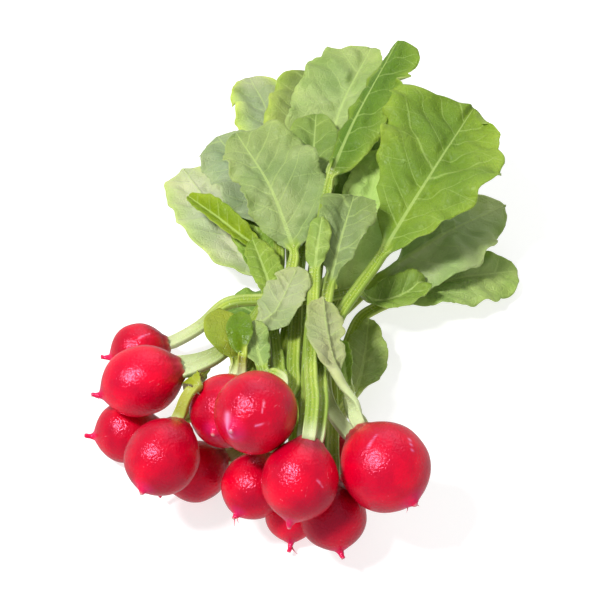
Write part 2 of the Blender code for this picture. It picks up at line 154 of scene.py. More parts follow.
def cut_rings(bm):
    """The leaf's rings as sets, from the cut of the stalk to the tip."""
    best = (0, None)
    for off_plane in FLAT_WITHIN:
        for face in bm.faces:
            patch = flat_patch(face, off_plane)
            if len(patch) != AROUND:
                continue
            rings = layers_from(patch)
            if all(len(ring) == AROUND for ring in rings):
                best = max(best, (height_to_width(patch), rings), key=lambda pair: pair[0])
        if best[0] > HIGH_ENOUGH:
            return best[1]
    raise ValueError("no flat cut found")


sample = merged("leaf_01")
print("leaf_01 has", len(cut_rings(sample)), "rings")
sample.free()


# %% [markdown]
# ## The order of the first ring
# A ring is only a set of points until they're in order. Where just one triangle of the flat cut
# touches an edge, that edge is on the rim, so the walk goes from rim edge to rim edge until it
# has all 14 points. Two of the edges are the longest, always the same two, and counting on from
# them gives the place where the top begins.

# %% The order of the first ring
def ring_order(ring):
    """Goes round the cut: 7 points of the top, then 7 of the underside."""
    rim = {v: [] for v in ring}
    for v in ring:
        for e in v.link_edges:
            faces = sum(all(w in ring for w in f.verts) for f in e.link_faces)
            if e.other_vert(v) in ring and faces == 1:
                rim[v].append(e.other_vert(v))
    cycle = [next(iter(ring))]
    while len(cycle) < AROUND:
        cycle.append(next(v for v in rim[cycle[-1]] if v not in cycle))
    lengths = [(cycle[i].co - cycle[(i + 1) % AROUND].co).length for i in range(AROUND)]
    first, second = sorted(np.argsort(lengths)[-2:])
    start = ((second if second - first == 5 else first) + 2) % AROUND
    return cycle[start:] + cycle[:start]


sample = merged("leaf_01")
cut = ring_order(cut_rings(sample)[0])
print("leaf_01's stalk is", round((cut[0].co - cut[ACROSS - 1].co).length * MM, 1), "mm wide")
sample.free()


# %% [markdown]
# ## The two sides of a leaf
# Each next ring takes the order of the one before it: every point goes to a neighbour, so that
# all the joining edges together are as short as they can be. That is a small search, and it gives
# up on a way as soon as it's longer than the best one so far. Then the first 7 points of each
# ring are one side of the leaf, and the last 7, read backwards, the other.

# %% The two sides of a leaf
def follow(ring, ordered):
    """Puts the next ring in the order of the one before, by the shortest set of edges."""
    joined = [[w for w in (e.other_vert(v) for e in v.link_edges) if w in ring] for v in ordered]
    best = [math.inf, None]

    def step(taken, length):
        if length > best[0]:
            return
        k = len(taken)
        if k == AROUND:
            if any(e.other_vert(taken[-1]) is taken[0] for e in taken[-1].link_edges):
                best[:] = [length, list(taken)]
            return
        for w in joined[k]:
            near = not taken or any(e.other_vert(w) is taken[-1] for e in w.link_edges)
            if w not in taken and near:
                step(taken + [w], length + (w.co - ordered[k].co).length)

    step([], 0.0)
    return best[1]


def leaf_sides(node):
    """The top and the underside of a leaf as arrays of rows by 7 points, left to right."""
    bm = merged(node)
    rings = cut_rings(bm)
    ordered = [ring_order(rings[0])]
    for ring in rings[1:]:
        ordered.append(follow(ring, ordered[-1]))
    points = np.array([[v.co for v in ring] for ring in ordered], float)
    bm.free()
    top, under = points[:, :ACROSS], points[:, : ACROSS - 1 : -1]
    middle = ACROSS // 2
    across, ahead = top[:, -1] - top[:, 0], np.gradient(top[:, middle], axis=0)
    up = np.cross(across, ahead)
    if np.einsum("ij,ij->i", up, (top - under)[:, middle])[:6].sum() < 0:
        top, under = top[:, ::-1], under[:, ::-1]
    return top, under


LEAVES = {node: leaf_sides(node) for node in NODES if node.startswith("leaf")}
print(len(LEAVES), "leaves read, rows:", [len(top) for top, under in LEAVES.values()])


# %% [markdown]
# ## A short way to lay out shader nodes
# The colour of every point of a leaf or root is worked out with its shape, and kept on the mesh
# as a colour attribute called tint. A finish reads it and adds the fine grain. You could paint
# all that by hand, but a rule gives each leaf its own pattern and can be changed in one place.
# A rule is a chain of shader nodes, and this small class lets each node be written in one line.

# %% Shader nodes
class Nodes:
    """A material and short ways to add nodes to it."""

    def __init__(self, name):
        self.material = bpy.data.materials.new(name)
        self.material.use_nodes = True
        self.tree = self.material.node_tree
        self.shader = self.tree.nodes["Principled BSDF"]

    def add(self, kind, inputs=(), **settings):
        node = self.tree.nodes.new("ShaderNode" + kind)
        for key, value in settings.items():
            setattr(node, key, value)
        for key, value in dict(inputs).items():
            self.set(node, key, value)
        return node

    def set(self, node, key, value):
        """Links a socket, or puts a constant straight into the input."""
        if isinstance(value, bpy.types.NodeSocket):
            self.tree.links.new(value, node.inputs[key])
        else:
            node.inputs[key].default_value = value

    def attribute(self, name, output):
        """A value that the mesh carries."""
        return self.add("Attribute", attribute_name=name).outputs[output]

    def ramp(self, value, low, high):
        """0 below low, 1 above high, smooth between."""
        inputs = {"Value": value, "From Min": low, "From Max": high}
        return self.add("MapRange", inputs, interpolation_type="SMOOTHSTEP").outputs["Result"]

    def off(self, value, low, high):
        """1 below low, 0 above high, smooth between."""
        return self.maths("SUBTRACT", 1.0, self.ramp(value, low, high))

    def noise(self, place, scale, detail=2.0):
        inputs = {"Vector": place, "Scale": scale, "Detail": detail}
        return self.add("TexNoise", inputs).outputs["Fac"]

    def cells(self, place, scale):
        """Distance to the walls of an uneven honeycomb."""
        inputs = {"Vector": place, "Scale": scale}
        return self.add("TexVoronoi", inputs, feature="DISTANCE_TO_EDGE").outputs["Distance"]

    def maths(self, operation, a, b=0.0):
        return self.add("Math", {0: a, 1: b}, operation=operation).outputs[0]

    def times(self, a, b):
        return self.maths("MULTIPLY", a, b)

    def mix(self, share, a, b, blend="MIX"):
        node = self.add("Mix", data_type="RGBA", blend_type=blend)
        self.set(node, 0, share)
        self.set(node, 6, a)
        self.set(node, 7, b)
        return node.outputs[2]

    def bump(self, height, strength, distance):
        inputs = {"Height": height, "Strength": strength, "Distance": distance}
        return self.add("Bump", inputs).outputs[0]

    def shade(self, **inputs):
        """Sets inputs of the main shader; an underscore stands for a space in their names."""
        for key, value in inputs.items():
            self.set(self.shader, key.replace("_", " "), value)


print("ways to add a node:", [key for key in vars(Nodes) if not key.startswith("_")])


# %% [markdown]
# ## Veins and the finish of a leaf
# Veins are drawn in the finish, from values that the mesh carries. Along the blade a phase counts
# the side veins: at each whole number there's a vein. How far a point is from the nearest whole
# number, turned into millimetres, says whether it lies on the line. A second phase does the same
# for the forks near the rim. Lines made this way stay sharp on a coarse mesh. A net of cells adds
# the finest veins, noise adds the mottling, and a little light goes through the tissue.

# %% Leaf finish
VEIN_COLOUR = (0.46, 0.60, 0.18, 1)
DULLER = (0.74, 0.82, 0.70, 1)
BRIGHTER = (1.5, 1.35, 1.5, 1)


def leaf_veins(n):
    """The side veins and the midrib as thin lines, 0 to 1, from the phases on the mesh."""
    phase = n.add("SeparateXYZ", {0: n.attribute("veins", "Vector")})
    parts = n.add("SeparateXYZ", {0: n.attribute("parts", "Vector")})
    per_mm, past, reach = phase.outputs[2], parts.outputs[1], parts.outputs[2]
    far_side = n.maths("DIVIDE", n.maths("PINGPONG", phase.outputs[0], 0.5), per_mm)
    far_fork = n.maths("DIVIDE", n.maths("PINGPONG", phase.outputs[1], 0.5), per_mm)
    wide = n.maths("ADD", n.times(reach, 0.50), 0.16)
    side = n.times(n.off(far_side, 0.06, wide), n.ramp(reach, 0.0, 0.3))
    fork = n.times(n.off(far_fork, 0.04, 0.26), n.times(past, 0.7))
    rib = n.off(parts.outputs[0], 0.60, 1.0)
    return n.maths("MAXIMUM", side, fork), rib


def leaf_finish(name, rough, sheen, vein_share, net_share):
    """Soft, slightly see-through tissue with veins and between them a net of finer ones."""
    n = Nodes(name)
    tint = n.attribute("tint", "Color")
    blade = n.attribute("blade", "Fac")
    place = n.add("TexCoord").outputs["Object"]
    across = n.add("UVMap", uv_map="leaf").outputs["UV"]
    cloud = n.noise(place, 45.0)
    grain = n.noise(place, 1100.0)
    bent = n.add("TexNoise", {"Vector": across, "Scale": 40.0}).outputs["Color"]
    warped = n.mix(0.012, across, bent, "ADD")
    cell = n.times(n.ramp(n.cells(warped, 36.0), 0.0, 0.10), n.ramp(n.cells(warped, 110.0), -0.06, 0.10))
    thread = n.times(n.maths("SUBTRACT", 1.0, cell), n.times(blade, net_share))
    vein, rib = (n.times(line, blade) for line in leaf_veins(n))
    dark = n.mix(1.0, tint, DULLER, "MULTIPLY")
    colour = n.mix(n.ramp(cloud, 0.35, 0.65), dark, tint)
    colour = n.mix(thread, colour, n.mix(1.0, colour, BRIGHTER, "MULTIPLY"))
    pale = n.mix(0.55, colour, VEIN_COLOUR)
    colour = n.mix(n.times(vein, vein_share), colour, pale)
    colour = n.mix(n.times(rib, min(1.0, vein_share * 1.5)), colour, pale)
    relief = n.maths("ADD", n.times(cell, blade), n.times(grain, 0.5))
    relief = n.maths("ADD", relief, n.times(vein, vein_share * 1.2))
    n.shade(Base_Color=colour, Roughness=rough, Normal=n.bump(relief, 0.5, 0.0004))
    n.shade(Subsurface_Weight=0.12, Subsurface_Scale=0.0015, Subsurface_Radius=(0.7, 1.0, 0.25))
    n.shade(Sheen_Weight=sheen, Sheen_Roughness=0.4, Specular_IOR_Level=0.28)
    return n.material


FINISH = {
    "leaf_green": leaf_finish("leaf green", 0.46, 0.02, 0.55, 0.20),
    "leaf_pale": leaf_finish("leaf pale", 0.58, 0.06, 0.45, 0.10),
    "leaf_yellow": leaf_finish("leaf yellow", 0.44, 0.0, 0.15, 0.05),
    "leaf_seed": leaf_finish("seed leaf", 0.34, 0.0, 0.0, 0.0),
}
print("leaf finishes:", ", ".join(FINISH))


# %% [markdown]
# ## The finish of a root
# A radish has a waxy skin: the light on it is sharp, but broken up, because the skin is finely
# dented. So the shader is quite smooth, with small bumps, rather than rough. Large soft noise
# makes the red uneven, small dots are the pores, and noise drawn out along the root makes fine
# scratches. The shine is tinted pink, as the red under the wax lends it its colour.

# %% Root finish
SCRATCH_COLOUR = (0.86, 0.22, 0.26, 1)
PORE_COLOUR = (0.85, 0.22, 0.30, 1)
DEEPER = (0.70, 0.6, 0.9, 1)


def root_finish(name):
    """Waxy red skin: pores, fine scratches along the root and a finely dented surface."""
    n = Nodes(name)
    tint = n.attribute("tint", "Color")
    place = n.add("TexCoord").outputs["Object"]
    ring = n.add("UVMap", uv_map="root").outputs["UV"]
    cloud = n.noise(place, 110.0, 5.0)
    skin = n.noise(place, 950.0, 4.0)
    pores = n.add("TexVoronoi", {"Vector": place, "Scale": 480.0}).outputs["Distance"]
    drawn = n.add("Mapping", {"Vector": ring, "Scale": (55.0, 9.0, 1.0), "Rotation": (0, 0, 0.35)})
    lines = n.noise(drawn.outputs[0], 1.0)
    scratch = n.times(n.ramp(lines, 0.70, 0.76), n.ramp(cloud, 0.50, 0.62))
    dots = n.times(n.off(pores, 0.08, 0.2), n.ramp(cloud, 0.54, 0.68))
    dark = n.mix(1.0, tint, DEEPER, "MULTIPLY")
    colour = n.mix(n.ramp(cloud, 0.32, 0.72), dark, tint)
    colour = n.mix(n.times(scratch, 0.55), colour, SCRATCH_COLOUR)
    colour = n.mix(n.times(dots, 0.30), colour, PORE_COLOUR)
    dents = n.bump(n.maths("ADD", skin, cloud), 0.48, 0.0007)
    n.shade(Base_Color=colour, Roughness=0.20, Normal=dents)
    n.shade(Subsurface_Weight=0.03, Subsurface_Scale=0.003, Subsurface_Radius=(1.0, 0.15, 0.12))
    n.shade(Specular_IOR_Level=1.0, Specular_Tint=(1.0, 0.22, 0.38, 1))
    return n.material


FINISH["root_skin"] = root_finish("root skin")
print("nodes in the root finish:", len(FINISH["root_skin"].node_tree.nodes))


# %% [markdown]
# ## Smooth filling
# Between the rings of the frame the leaf is filled in with smooth curves, so the big bends stay
# where they were. Each curve passes through all its points, and at a point it heads the way its
# two neighbours suggest. Blender's subdivision would do this too, but it shrinks a mesh away from
# its points, and then the finer leaf wouldn't have the size of the frame's leaf.

# %% Smooth filling
def curve_through(points, knots, at):
    """Smooth curves through rows of points, read at other places along the knots."""
    gap = np.diff(knots)
    slope = np.diff(points, axis=0) / gap.reshape(-1, *[1] * (points.ndim - 1))
    weight = (gap[1:] / (gap[1:] + gap[:-1])).reshape(-1, *[1] * (points.ndim - 1))
    inner = slope[:-1] * weight + slope[1:] * (1 - weight)
    tangent = np.concatenate([2 * slope[:1] - inner[:1], inner, 2 * slope[-1:] - inner[-1:]])
    i = np.clip(np.searchsorted(knots, at, side="right") - 1, 0, len(gap) - 1)
    h = gap[i].reshape(-1, *[1] * (points.ndim - 1))
    t = ((at - knots[i]) / gap[i]).reshape(h.shape)
    a, b, c, d = points[i], points[i + 1], tangent[i] * h, tangent[i + 1] * h
    return a + t * c + t**2 * (3 * (b - a) - 2 * c - d) + t**3 * (2 * (a - b) + c + d)


def unit(vectors):
    return vectors / np.maximum(np.linalg.norm(vectors, axis=-1, keepdims=True), 1e-12)


def grid_normals(points):
    return unit(np.cross(np.gradient(points, axis=1), np.gradient(points, axis=0)))


def smoothstep(low, high, value):
    t = np.clip((value - low) / (high - low), 0, 1)
    return t * t * (3 - 2 * t)


def bell(distance, width):
    return np.exp(-((distance / width) ** 2))


halfway = curve_through(np.array([0.0, 1.0, 0.0]), np.arange(3.0), np.array([0.5]))[0]
print("halfway from 0 up to 1 and back to 0, the curve is at", halfway)


# %% [markdown]
# ## Teeth, veins and swellings
# Three rules make the small forms of a blade. Teeth are a saw of blunt bumps of uneven length.
# Veins run from the midrib to the rim on a slant, a little arched, and never quite evenly apart.
# Swellings are a few sine waves of different lengths and directions, added up. All of them work
# in millimetres, so a tooth or a vein is the same size on every leaf, and all take their uneven
# numbers from a seeded source, so the bunch comes out the same each time.

# %% Teeth, veins and swellings
VEIN_ARCH = 0.014
SWELLING_LENGTHS = (7, 9, 12, 15, 19, 26)
SWELLING_HEIGHT = 0.031


def teeth(chance, length, pitch, deep):
    """How far the rim stands out along a blade: blunt teeth of uneven length."""
    ends = np.cumsum(pitch * chance.uniform(0.45, 1.7, int(length / pitch * 1.7) + 6)) - pitch
    sizes = deep * chance.uniform(0.2, 1.3, len(ends))

    def height(y):
        i = np.clip(np.searchsorted(ends, y) - 1, 0, len(ends) - 2)
        t = np.clip((y - ends[i]) / (ends[i + 1] - ends[i]), 0, 1)
        return sizes[i] * (np.sin(np.pi * t**1.3) ** 0.8 - 0.4)

    return height


def vein_field(chance, x, y, half, pitch):
    """Side veins at x across and y along: phases, what is past the fork, reach, and distance."""
    first, second = chance.uniform(0, 6, 2)
    lean = chance.uniform(0.50, 0.75)

    def uneven(q):
        return q + 0.12 * np.sin(1.7 * q + first) + 0.08 * np.sin(4.1 * q + second)

    side = uneven((y - lean * x - VEIN_ARCH * x**2) / pitch + 12)
    fork = 0.42 * half
    past = np.maximum(x - fork, 0)
    branch = uneven((y - lean * fork - VEIN_ARCH * fork**2 + 0.10 * past) / pitch + 12)
    reach = 1 - np.clip(x / half, 0, 1)
    away = np.abs(side - np.round(side)) * pitch
    return side, branch, smoothstep(0, 1.5, past), reach, away


def rumple(chance, x, y):
    """Small uneven swellings of a leaf."""
    lift = np.zeros_like(x)
    for length in SWELLING_LENGTHS:
        turn = chance.uniform(0, 2 * np.pi)
        along = np.cos(turn) * x + np.sin(turn) * y
        beat = 2 * np.pi * along / length + chance.uniform(0, 6)
        lift += SWELLING_HEIGHT * length * np.sin(beat)
    return lift


print("swellings up to", round(SWELLING_HEIGHT * sum(SWELLING_LENGTHS), 1), "mm high")


# %% [markdown]
# ## The neck of a leaf
# The last stalk ring of the frame is far from the one before it and near to the first ring of the
# blade. A smooth curve through such uneven steps overshoots, and pinches the stalk just before
# the blade. One ring more in the long gap, as wide as the stalk would be there, holds it open.
# It's put as far before the last stalk ring as the blade's first ring is behind it.

# %% The neck of a leaf
STALK_ROWS = 6


def leaf_lengths(top):
    """Distance of each ring from the cut along the leaf, in mm."""
    steps = np.linalg.norm(np.diff(top[:, ACROSS // 2], axis=0), axis=1)
    return np.concatenate([[0], np.cumsum(steps)]) * MM


def with_neck(side, along):
    """The rows with one more just before the blade, so that the blade can't pinch its stalk."""
    last, gap = STALK_ROWS, along[STALK_ROWS + 1] - along[STALK_ROWS]
    middle = curve_through(side[:, ACROSS // 2], along, np.array([along[last] - gap]))
    share = gap / (along[last] - along[last - 1])
    spread = side - side[:, ACROSS // 2, None]
    neck = middle + spread[last] * (1 - share) + spread[last - 1] * share
    return np.insert(side, last, neck, axis=0)


top, under = LEAVES["leaf_15"]
print("leaf_15 has", len(top), "rings, and with its neck", len(with_neck(top, leaf_lengths(top))))


# %% [markdown]
# ## The grid of a leaf
# The finer leaf is a grid: rows from the cut to the tip, columns from the left rim to the right.
# The rows lie closer in the blade than in the stalk, and the columns closer in the middle, where
# the midrib is. So the points go where the small forms are, and not all leaves need the same
# number of them.

# %% The grid of a leaf
STALK_STEP = 1.6  # mm between rows of the stalk
BLADE_STEP = 0.72  # mm between rows of the blade
COLUMN_STEP = 1.7  # mm of the widest row for every two columns


def filled(grid, along, v, u):
    """A side of the leaf in mm, on smooth curves both ways, at rows v and columns u."""
    rows = curve_through(grid, along, v)
    columns = np.linspace(-1, 1, ACROSS)
    return np.moveaxis(curve_through(np.moveaxis(rows, 1, 0), columns, u), 0, 1) * MM


def from_midrib(base):
    """Distance of every point from the middle column, measured along its row."""
    steps = np.linalg.norm(np.diff(base, axis=1), axis=2)
    run = np.concatenate([np.zeros((len(base), 1)), np.cumsum(steps, axis=1)], axis=1)
    middle = base.shape[1] // 2
    return np.abs(run - run[:, middle : middle + 1])


def leaf_grid(node):
    """The filled leaf, with what the next steps need: x across and y along it in mm, u and v."""
    top, under = LEAVES[node]
    along = leaf_lengths(top)
    foot, length = along[STALK_ROWS], along[-1] - along[STALK_ROWS]
    top, under = with_neck(top, along), with_neck(under, along)
    along = np.insert(along, STALK_ROWS, 2 * foot - along[STALK_ROWS + 1])
    v = np.concatenate([
        np.linspace(0, foot, max(8, int(foot / STALK_STEP)), endpoint=False),
        np.linspace(foot, along[-1], max(16, int(length / BLADE_STEP))),
    ])
    widest = np.linalg.norm(top[:, 0] - top[:, -1], axis=1).max() * MM
    w = np.linspace(-1, 1, 2 * max(9, int(widest / COLUMN_STEP)) + 1)
    u = w * (0.55 + 0.45 * np.abs(w))
    base = filled(top, along, v, u)
    x = from_midrib(base)
    y = np.broadcast_to((v - foot)[:, None], x.shape)
    return SimpleNamespace(
        base=base, normal=grid_normals(base), u=u, v=v, x=x, y=y, foot=foot, length=length,
        cad_thick=np.linalg.norm(base - filled(under, along, v, u), axis=2),
        half=np.where(u[None] < 0, x[:, :1], x[:, -1:]),
        in_blade=smoothstep(0, 0.12 * length, y),
        rim=np.abs(u)[None] ** 3,
        crisp=0.0 if SLOT[node] == "leaf_seed" else 1.0,
    )


sample = leaf_grid("leaf_15")
print("leaf_15:", sample.x.shape, "rows and columns, blade", round(sample.length, 1), "mm long")


# %% [markdown]
# ## The rim of a blade
# A radish leaf has a toothed rim, and an old one has bites and tears. Both are a push of the
# outer columns along the blade's own surface, strongest at the rim and fading inwards, so the
# mesh keeps its clean rows. The last rows are pushed ahead in the middle and held back at the
# sides, which rounds the tip. A seed leaf is smooth, so its teeth have no height.

# %% The rim of a blade
USUAL_TEETH = (4.6, 0.7)  # pitch and depth in mm
# Teeth of the rim where they differ from the usual.
TEETH = {
    "leaf_15": (6.0, 0.4), "leaf_16": (6.5, 0.5), "leaf_14": (2.6, 0.9), "leaf_18": (2.6, 0.9),
    "leaf_12": (3.6, 0.8), "leaf_09": (4.0, 0.7), "leaf_07": (6.0, 0.4), "leaf_05": (5.0, 0.6),
}
# Bites, tears and, where the depth is negative, swellings of the rim: side, place along the
# blade, depth and width in mm.
NOTCHES = {
    "leaf_16": [("right", 0.72, 4.5, 1.6), ("right", 0.80, 2.0, 1.2)],
    "leaf_14": [("right", 0.16, 3.0, 1.6), ("left", 0.55, 1.5, 3.0)],
    "leaf_15": [("right", 0.93, 2.2, 1.5), ("right", 0.55, -2.5, 9.0), ("left", 0.62, 1.6, 3.0)],
    "leaf_20": [("left", 0.45, 2.4, 1.4)],
    "leaf_19": [("right", 0.75, 2.2, 1.6)],
    "leaf_09": [("left", 0.80, 1.6, 1.6)],
}


def shape_rim(leaf, node, chance):
    """Adds teeth and bites to the rim, and rounds the tip."""
    base, u, y = leaf.base, leaf.u, leaf.y
    to_left, to_right = unit(base[:, :1] - base[:, 1:2]), unit(base[:, -1:] - base[:, -2:-1])
    outward = np.where(u[None, :, None] < 0, to_left, to_right)
    fade = leaf.in_blade * (0.4 + 0.6 * smoothstep(0, 0.25, 1 - y / leaf.length))
    for side in (u < 0, u > 0):
        height = teeth(chance, leaf.length, *TEETH.get(node, USUAL_TEETH))
        stand = leaf.crisp * height(y[:, :1])
        base[:, side] += (outward * (stand * leaf.rim * fade)[..., None])[:, side]
    for where, at, deep, wide in NOTCHES.get(node, ()):
        side = u < 0 if where == "left" else u > 0
        cut = -deep * bell(y - at * leaf.length, wide) * np.abs(u)[None] ** 2
        base[:, side] += (outward * cut[..., None])[:, side]
    ahead = unit(np.gradient(base, axis=0))
    blunt = leaf.half[-1].mean()
    tip = (np.clip(y / leaf.length, 0, 1) ** 8) * (0.30 - 0.65 * np.abs(u[None]) ** 2.5)
    base += ahead * (tip * blunt)[..., None]


print("leaves with teeth of their own:", len(TEETH), "- with bites or swellings:", len(NOTCHES))


# %% [markdown]
# ## The relief of a blade
# Seen close, the upper side of a leaf is a quilt: the tissue between two side veins is lifted,
# and the veins lie in the valleys. The rim waves up and down, the two halves not in step, and a
# stalk has a shallow channel along its top. Each is a push along the normal, so it can be worked
# out for the whole grid at once. Where a blade is narrow it swells and waves less.

# %% The relief of a blade
CUSHION_HEIGHT = 0.70  # mm that the tissue between the veins is lifted
VEIN_DEPTH = 0.15  # mm that a vein lies lower
WAVE_HEIGHT = 1.7  # mm of the wave at the rim
CHANNEL_DEPTH = 0.45  # mm of the channel in a stalk


def lay_veins(leaf, chance):
    """Lays side veins over the two halves of the blade, half a pitch out of step."""
    leaf.pitch = max(6.0, leaf.length / 7.5)
    fields = np.zeros((5, *leaf.x.shape))
    for k, side in enumerate((leaf.u < 0, leaf.u >= 0)):
        near, half = leaf.y[:, side] + k * leaf.pitch / 2, leaf.half[:, side] + 1e-6
        fields[:, :, side] = vein_field(chance, leaf.x[:, side], near, half, leaf.pitch)
    leaf.phase, leaf.branch, leaf.past, leaf.reach, leaf.away = fields
    thin = bell(leaf.away, 0.5 * leaf.reach + 0.3)
    leaf.side_veins = thin * leaf.in_blade * leaf.crisp * (0.4 + 0.6 * leaf.reach)


def lift_tissue(leaf, chance):
    """Cushions between the veins, swellings, waves of the rim, and the channel of the stalk."""
    u, x, y, in_blade = leaf.u, leaf.x, leaf.y, leaf.in_blade
    cushion = 1 - bell(leaf.away, leaf.pitch * 0.24)
    inner = smoothstep(0.6, 4.0, x) * in_blade * (1 - 0.5 * leaf.rim)
    beat = 2 * np.pi * y / chance.uniform(17, 24) + chance.uniform(0, 6)
    wave = WAVE_HEIGHT * (np.sin(beat) + 0.4 * np.sin(2.3 * beat))
    wave = wave * np.where(u[None] < 0, 1, -0.8) * leaf.rim
    channel = CHANNEL_DEPTH * (1 - u[None] ** 2) * (1 - in_blade)
    leaf.base -= leaf.normal * (channel * smoothstep(0, 3, leaf.v)[:, None])[..., None]
    room = smoothstep(4, 14, leaf.half)
    swell = rumple(chance, np.where(u[None] < 0, -x, x), y)
    lift = leaf.crisp * (CUSHION_HEIGHT * cushion * inner - VEIN_DEPTH * leaf.side_veins)
    lift += room * (swell * inner + wave * in_blade)
    leaf.base += leaf.normal * lift[..., None]


lay_veins(sample, np.random.default_rng(1))
print("side veins of leaf_15 are", round(sample.pitch, 1), "mm apart")


# %% [markdown]
# ## The underside, and what the colours need
# Below, a stalk has the depth of the frame's solid. In the blade a thin skin takes over, with a
# round midrib that stands out below and thins towards the tip. The points of the underside are
# the upper ones moved down by that thickness along the normal. Then the values that the tints
# and the finish read are noted for every point: stalk or blade, rim, phases of the veins.

# %% The underside, and what the colours need
RIB_HALF_WIDTHS = (2.3, 2.1, 0.45)  # mm at the cut, the foot of the blade and the tip
RIB_DEPTHS = (3.3, 2.3, 1.3, 0.3)  # mm at the cut, the foot, a third of the blade and the tip
BLADE_SKIN = 0.45  # mm
VEIN_RIDGE = 0.22  # mm that a side vein stands out below
MAP_SCALE = 100  # mm of leaf or root in one unit of its flat map


def underside(leaf):
    """The points of the underside, from the thickness of stalk, skin, midrib and veins."""
    foot, end = leaf.foot, leaf.foot + leaf.length
    leaf.rib_wide = np.interp(leaf.v, [0, foot, end], RIB_HALF_WIDTHS)[:, None]
    rib_deep = np.interp(leaf.v, [0, foot, foot + 0.3 * leaf.length, end], RIB_DEPTHS)[:, None]
    rib = np.sqrt(np.clip(1 - (leaf.x / leaf.rib_wide) ** 2, 0, 1))
    skin = BLADE_SKIN * (1 - 0.5 * leaf.rim)
    blade_thick = skin + rib_deep * rib + VEIN_RIDGE * leaf.side_veins
    thick = leaf.cad_thick * (1 - leaf.in_blade) + blade_thick * leaf.in_blade
    thick[0] = leaf.cad_thick[0]
    return leaf.base - grid_normals(leaf.base) * thick[..., None]


def leaf_looks(leaf):
    """Values at every point for the tints and the finish."""
    x, shape = leaf.x, leaf.x.shape
    return {
        "stalk": (1 - leaf.in_blade) * smoothstep(3.8, 2.4, x),
        "rim": leaf.rim * leaf.in_blade,
        "y": leaf.y / leaf.length,
        "u": np.broadcast_to(leaf.u, shape),
        "from_crown": np.broadcast_to(leaf.v[:, None], shape),
        "veins": np.stack([leaf.phase, leaf.branch, np.full_like(x, 1 / leaf.pitch)], axis=2),
        "parts": np.stack([x / leaf.rib_wide * 1.9, leaf.past, leaf.reach], axis=2),
        "map": np.stack([np.where(leaf.u[None] < 0, -x, x), leaf.y], axis=2) / MAP_SCALE,
    }


def fine_leaf(node):
    """The top and the underside of the finer leaf, with its looks."""
    chance = np.random.default_rng(int(node[-2:]) + 40)
    leaf = leaf_grid(node)
    shape_rim(leaf, node, chance)
    lay_veins(leaf, chance)
    lift_tissue(leaf, chance)
    below = underside(leaf)
    return leaf.base / MM, below / MM, leaf_looks(leaf)


print("a blade is", BLADE_SKIN, "mm thick, and its midrib up to", RIB_DEPTHS[1], "mm more")


# %% [markdown]
# ## Colours of the leaves
# Each leaf has a colour of its own; old leaves are duller, young ones yellower. Two of them,
# leaf_25 and leaf_01, are painted lighter than their own green: painted light that stands in for
# the light the leaves above keep off them. One green for all of them would make the bunch look
# like plastic, so the colours stand in a table, with one line for a few leaves. Next to it are the
# colours that all leaves share, and the leaves that have a yellower rim or a longer pale foot than
# the others.

# %% Colours of the leaves
# leaf_25 and leaf_01 are painted lighter than their own green, as painted light for the shade of the
# leaves above.
TINT = {
    "leaf_01": (0.239, 0.322, 0.091), "leaf_02": (0.16, 0.272, 0.048), "leaf_03": (0.274, 0.378, 0.113),
    "leaf_04": (0.301, 0.359, 0.212), "leaf_05": (0.306, 0.399, 0.177), "leaf_06": (0.197, 0.255, 0.07),
    "leaf_07": (0.436, 0.475, 0.321), "leaf_08": (0.176, 0.272, 0.048), "leaf_09": (0.286, 0.379, 0.135),
    "leaf_10": (0.184, 0.281, 0.045), "leaf_11": (0.251, 0.316, 0.013), "leaf_12": (0.257, 0.325, 0.192),
    "leaf_13": (0.203, 0.297, 0.005), "leaf_14": (0.226, 0.302, 0.112), "leaf_15": (0.135, 0.228, 0.016),
    "leaf_16": (0.081, 0.167, 0.007), "leaf_17": (0.152, 0.24, 0.048), "leaf_18": (0.171, 0.237, 0.088),
    "leaf_19": (0.301, 0.35, 0.182), "leaf_20": (0.334, 0.362, 0.18), "leaf_21": (0.194, 0.324, 0.034),
    "leaf_22": (0.219, 0.275, 0.019), "leaf_23": (0.09, 0.174, 0.002), "leaf_24": (0.173, 0.269, 0.029),
    "leaf_25": (0.466, 0.63, 0.193), "leaf_26": (0.2, 0.32, 0.04), "leaf_27": (0.24, 0.336, 0.104),
    "leaf_28": (0.216, 0.316, 0.064),
}
BACK_TINT = (0.50, 0.57, 0.34)
YELLOW = (0.50, 0.62, 0.08)
# How yellow the rim is, from 0 to 1, where it differs from the usual.
YELLOW_RIM = {"leaf_04": 0.9, "leaf_06": 0.6, "leaf_07": 0.6, "leaf_15": 0.25, "leaf_16": 0.35}
USUAL_RIM = 0.12
STALK_TINT = (0.38, 0.46, 0.065)
# Painted light: the stalk's sides are lighter, as where light comes through them. Painted shade: darker
# stripes along the stalk, as in the shade of grooves.
STALK_EDGE_LIGHT = (0.50, 0.58, 0.18)
STALK_GROOVE_SHADE = (0.21, 0.31, 0.02)
STALK_FOOT = (0.62, 0.64, 0.38)
OLD_STALK = (0.36, 0.39, 0.06)
# How far up the stalk is pale, in mm, where it differs from the usual.
PALE_FOOT = {
    "leaf_15": 60, "leaf_20": 60, "leaf_21": 40, "leaf_13": 30, "leaf_12": 30, "leaf_10": 30,
    "leaf_11": 2,
}
USUAL_FOOT = 9
PLAIN_STALKS = ("leaf_11", "leaf_22", "leaf_23")
print("tints for", len(TINT), "leaves, mean", np.mean(list(TINT.values()), axis=0).round(3))


# %% [markdown]
# ## Tints of the leaves
# The underside of every leaf is paler and greyer than its face. The rim is a little yellow, the
# tip a little brighter, and a stalk is nearly white where it leaves its root. Colours are worked
# out point by point, by going from one colour a certain share of the way toward another, so each
# rule is one line and no edge between two colours is hard.

# %% Tints of the leaves
def toward(colour, other, share):
    """A colour moved some share of the way to another one."""
    return colour + (np.array(other) - colour) * np.clip(share, 0, 1)[..., None]


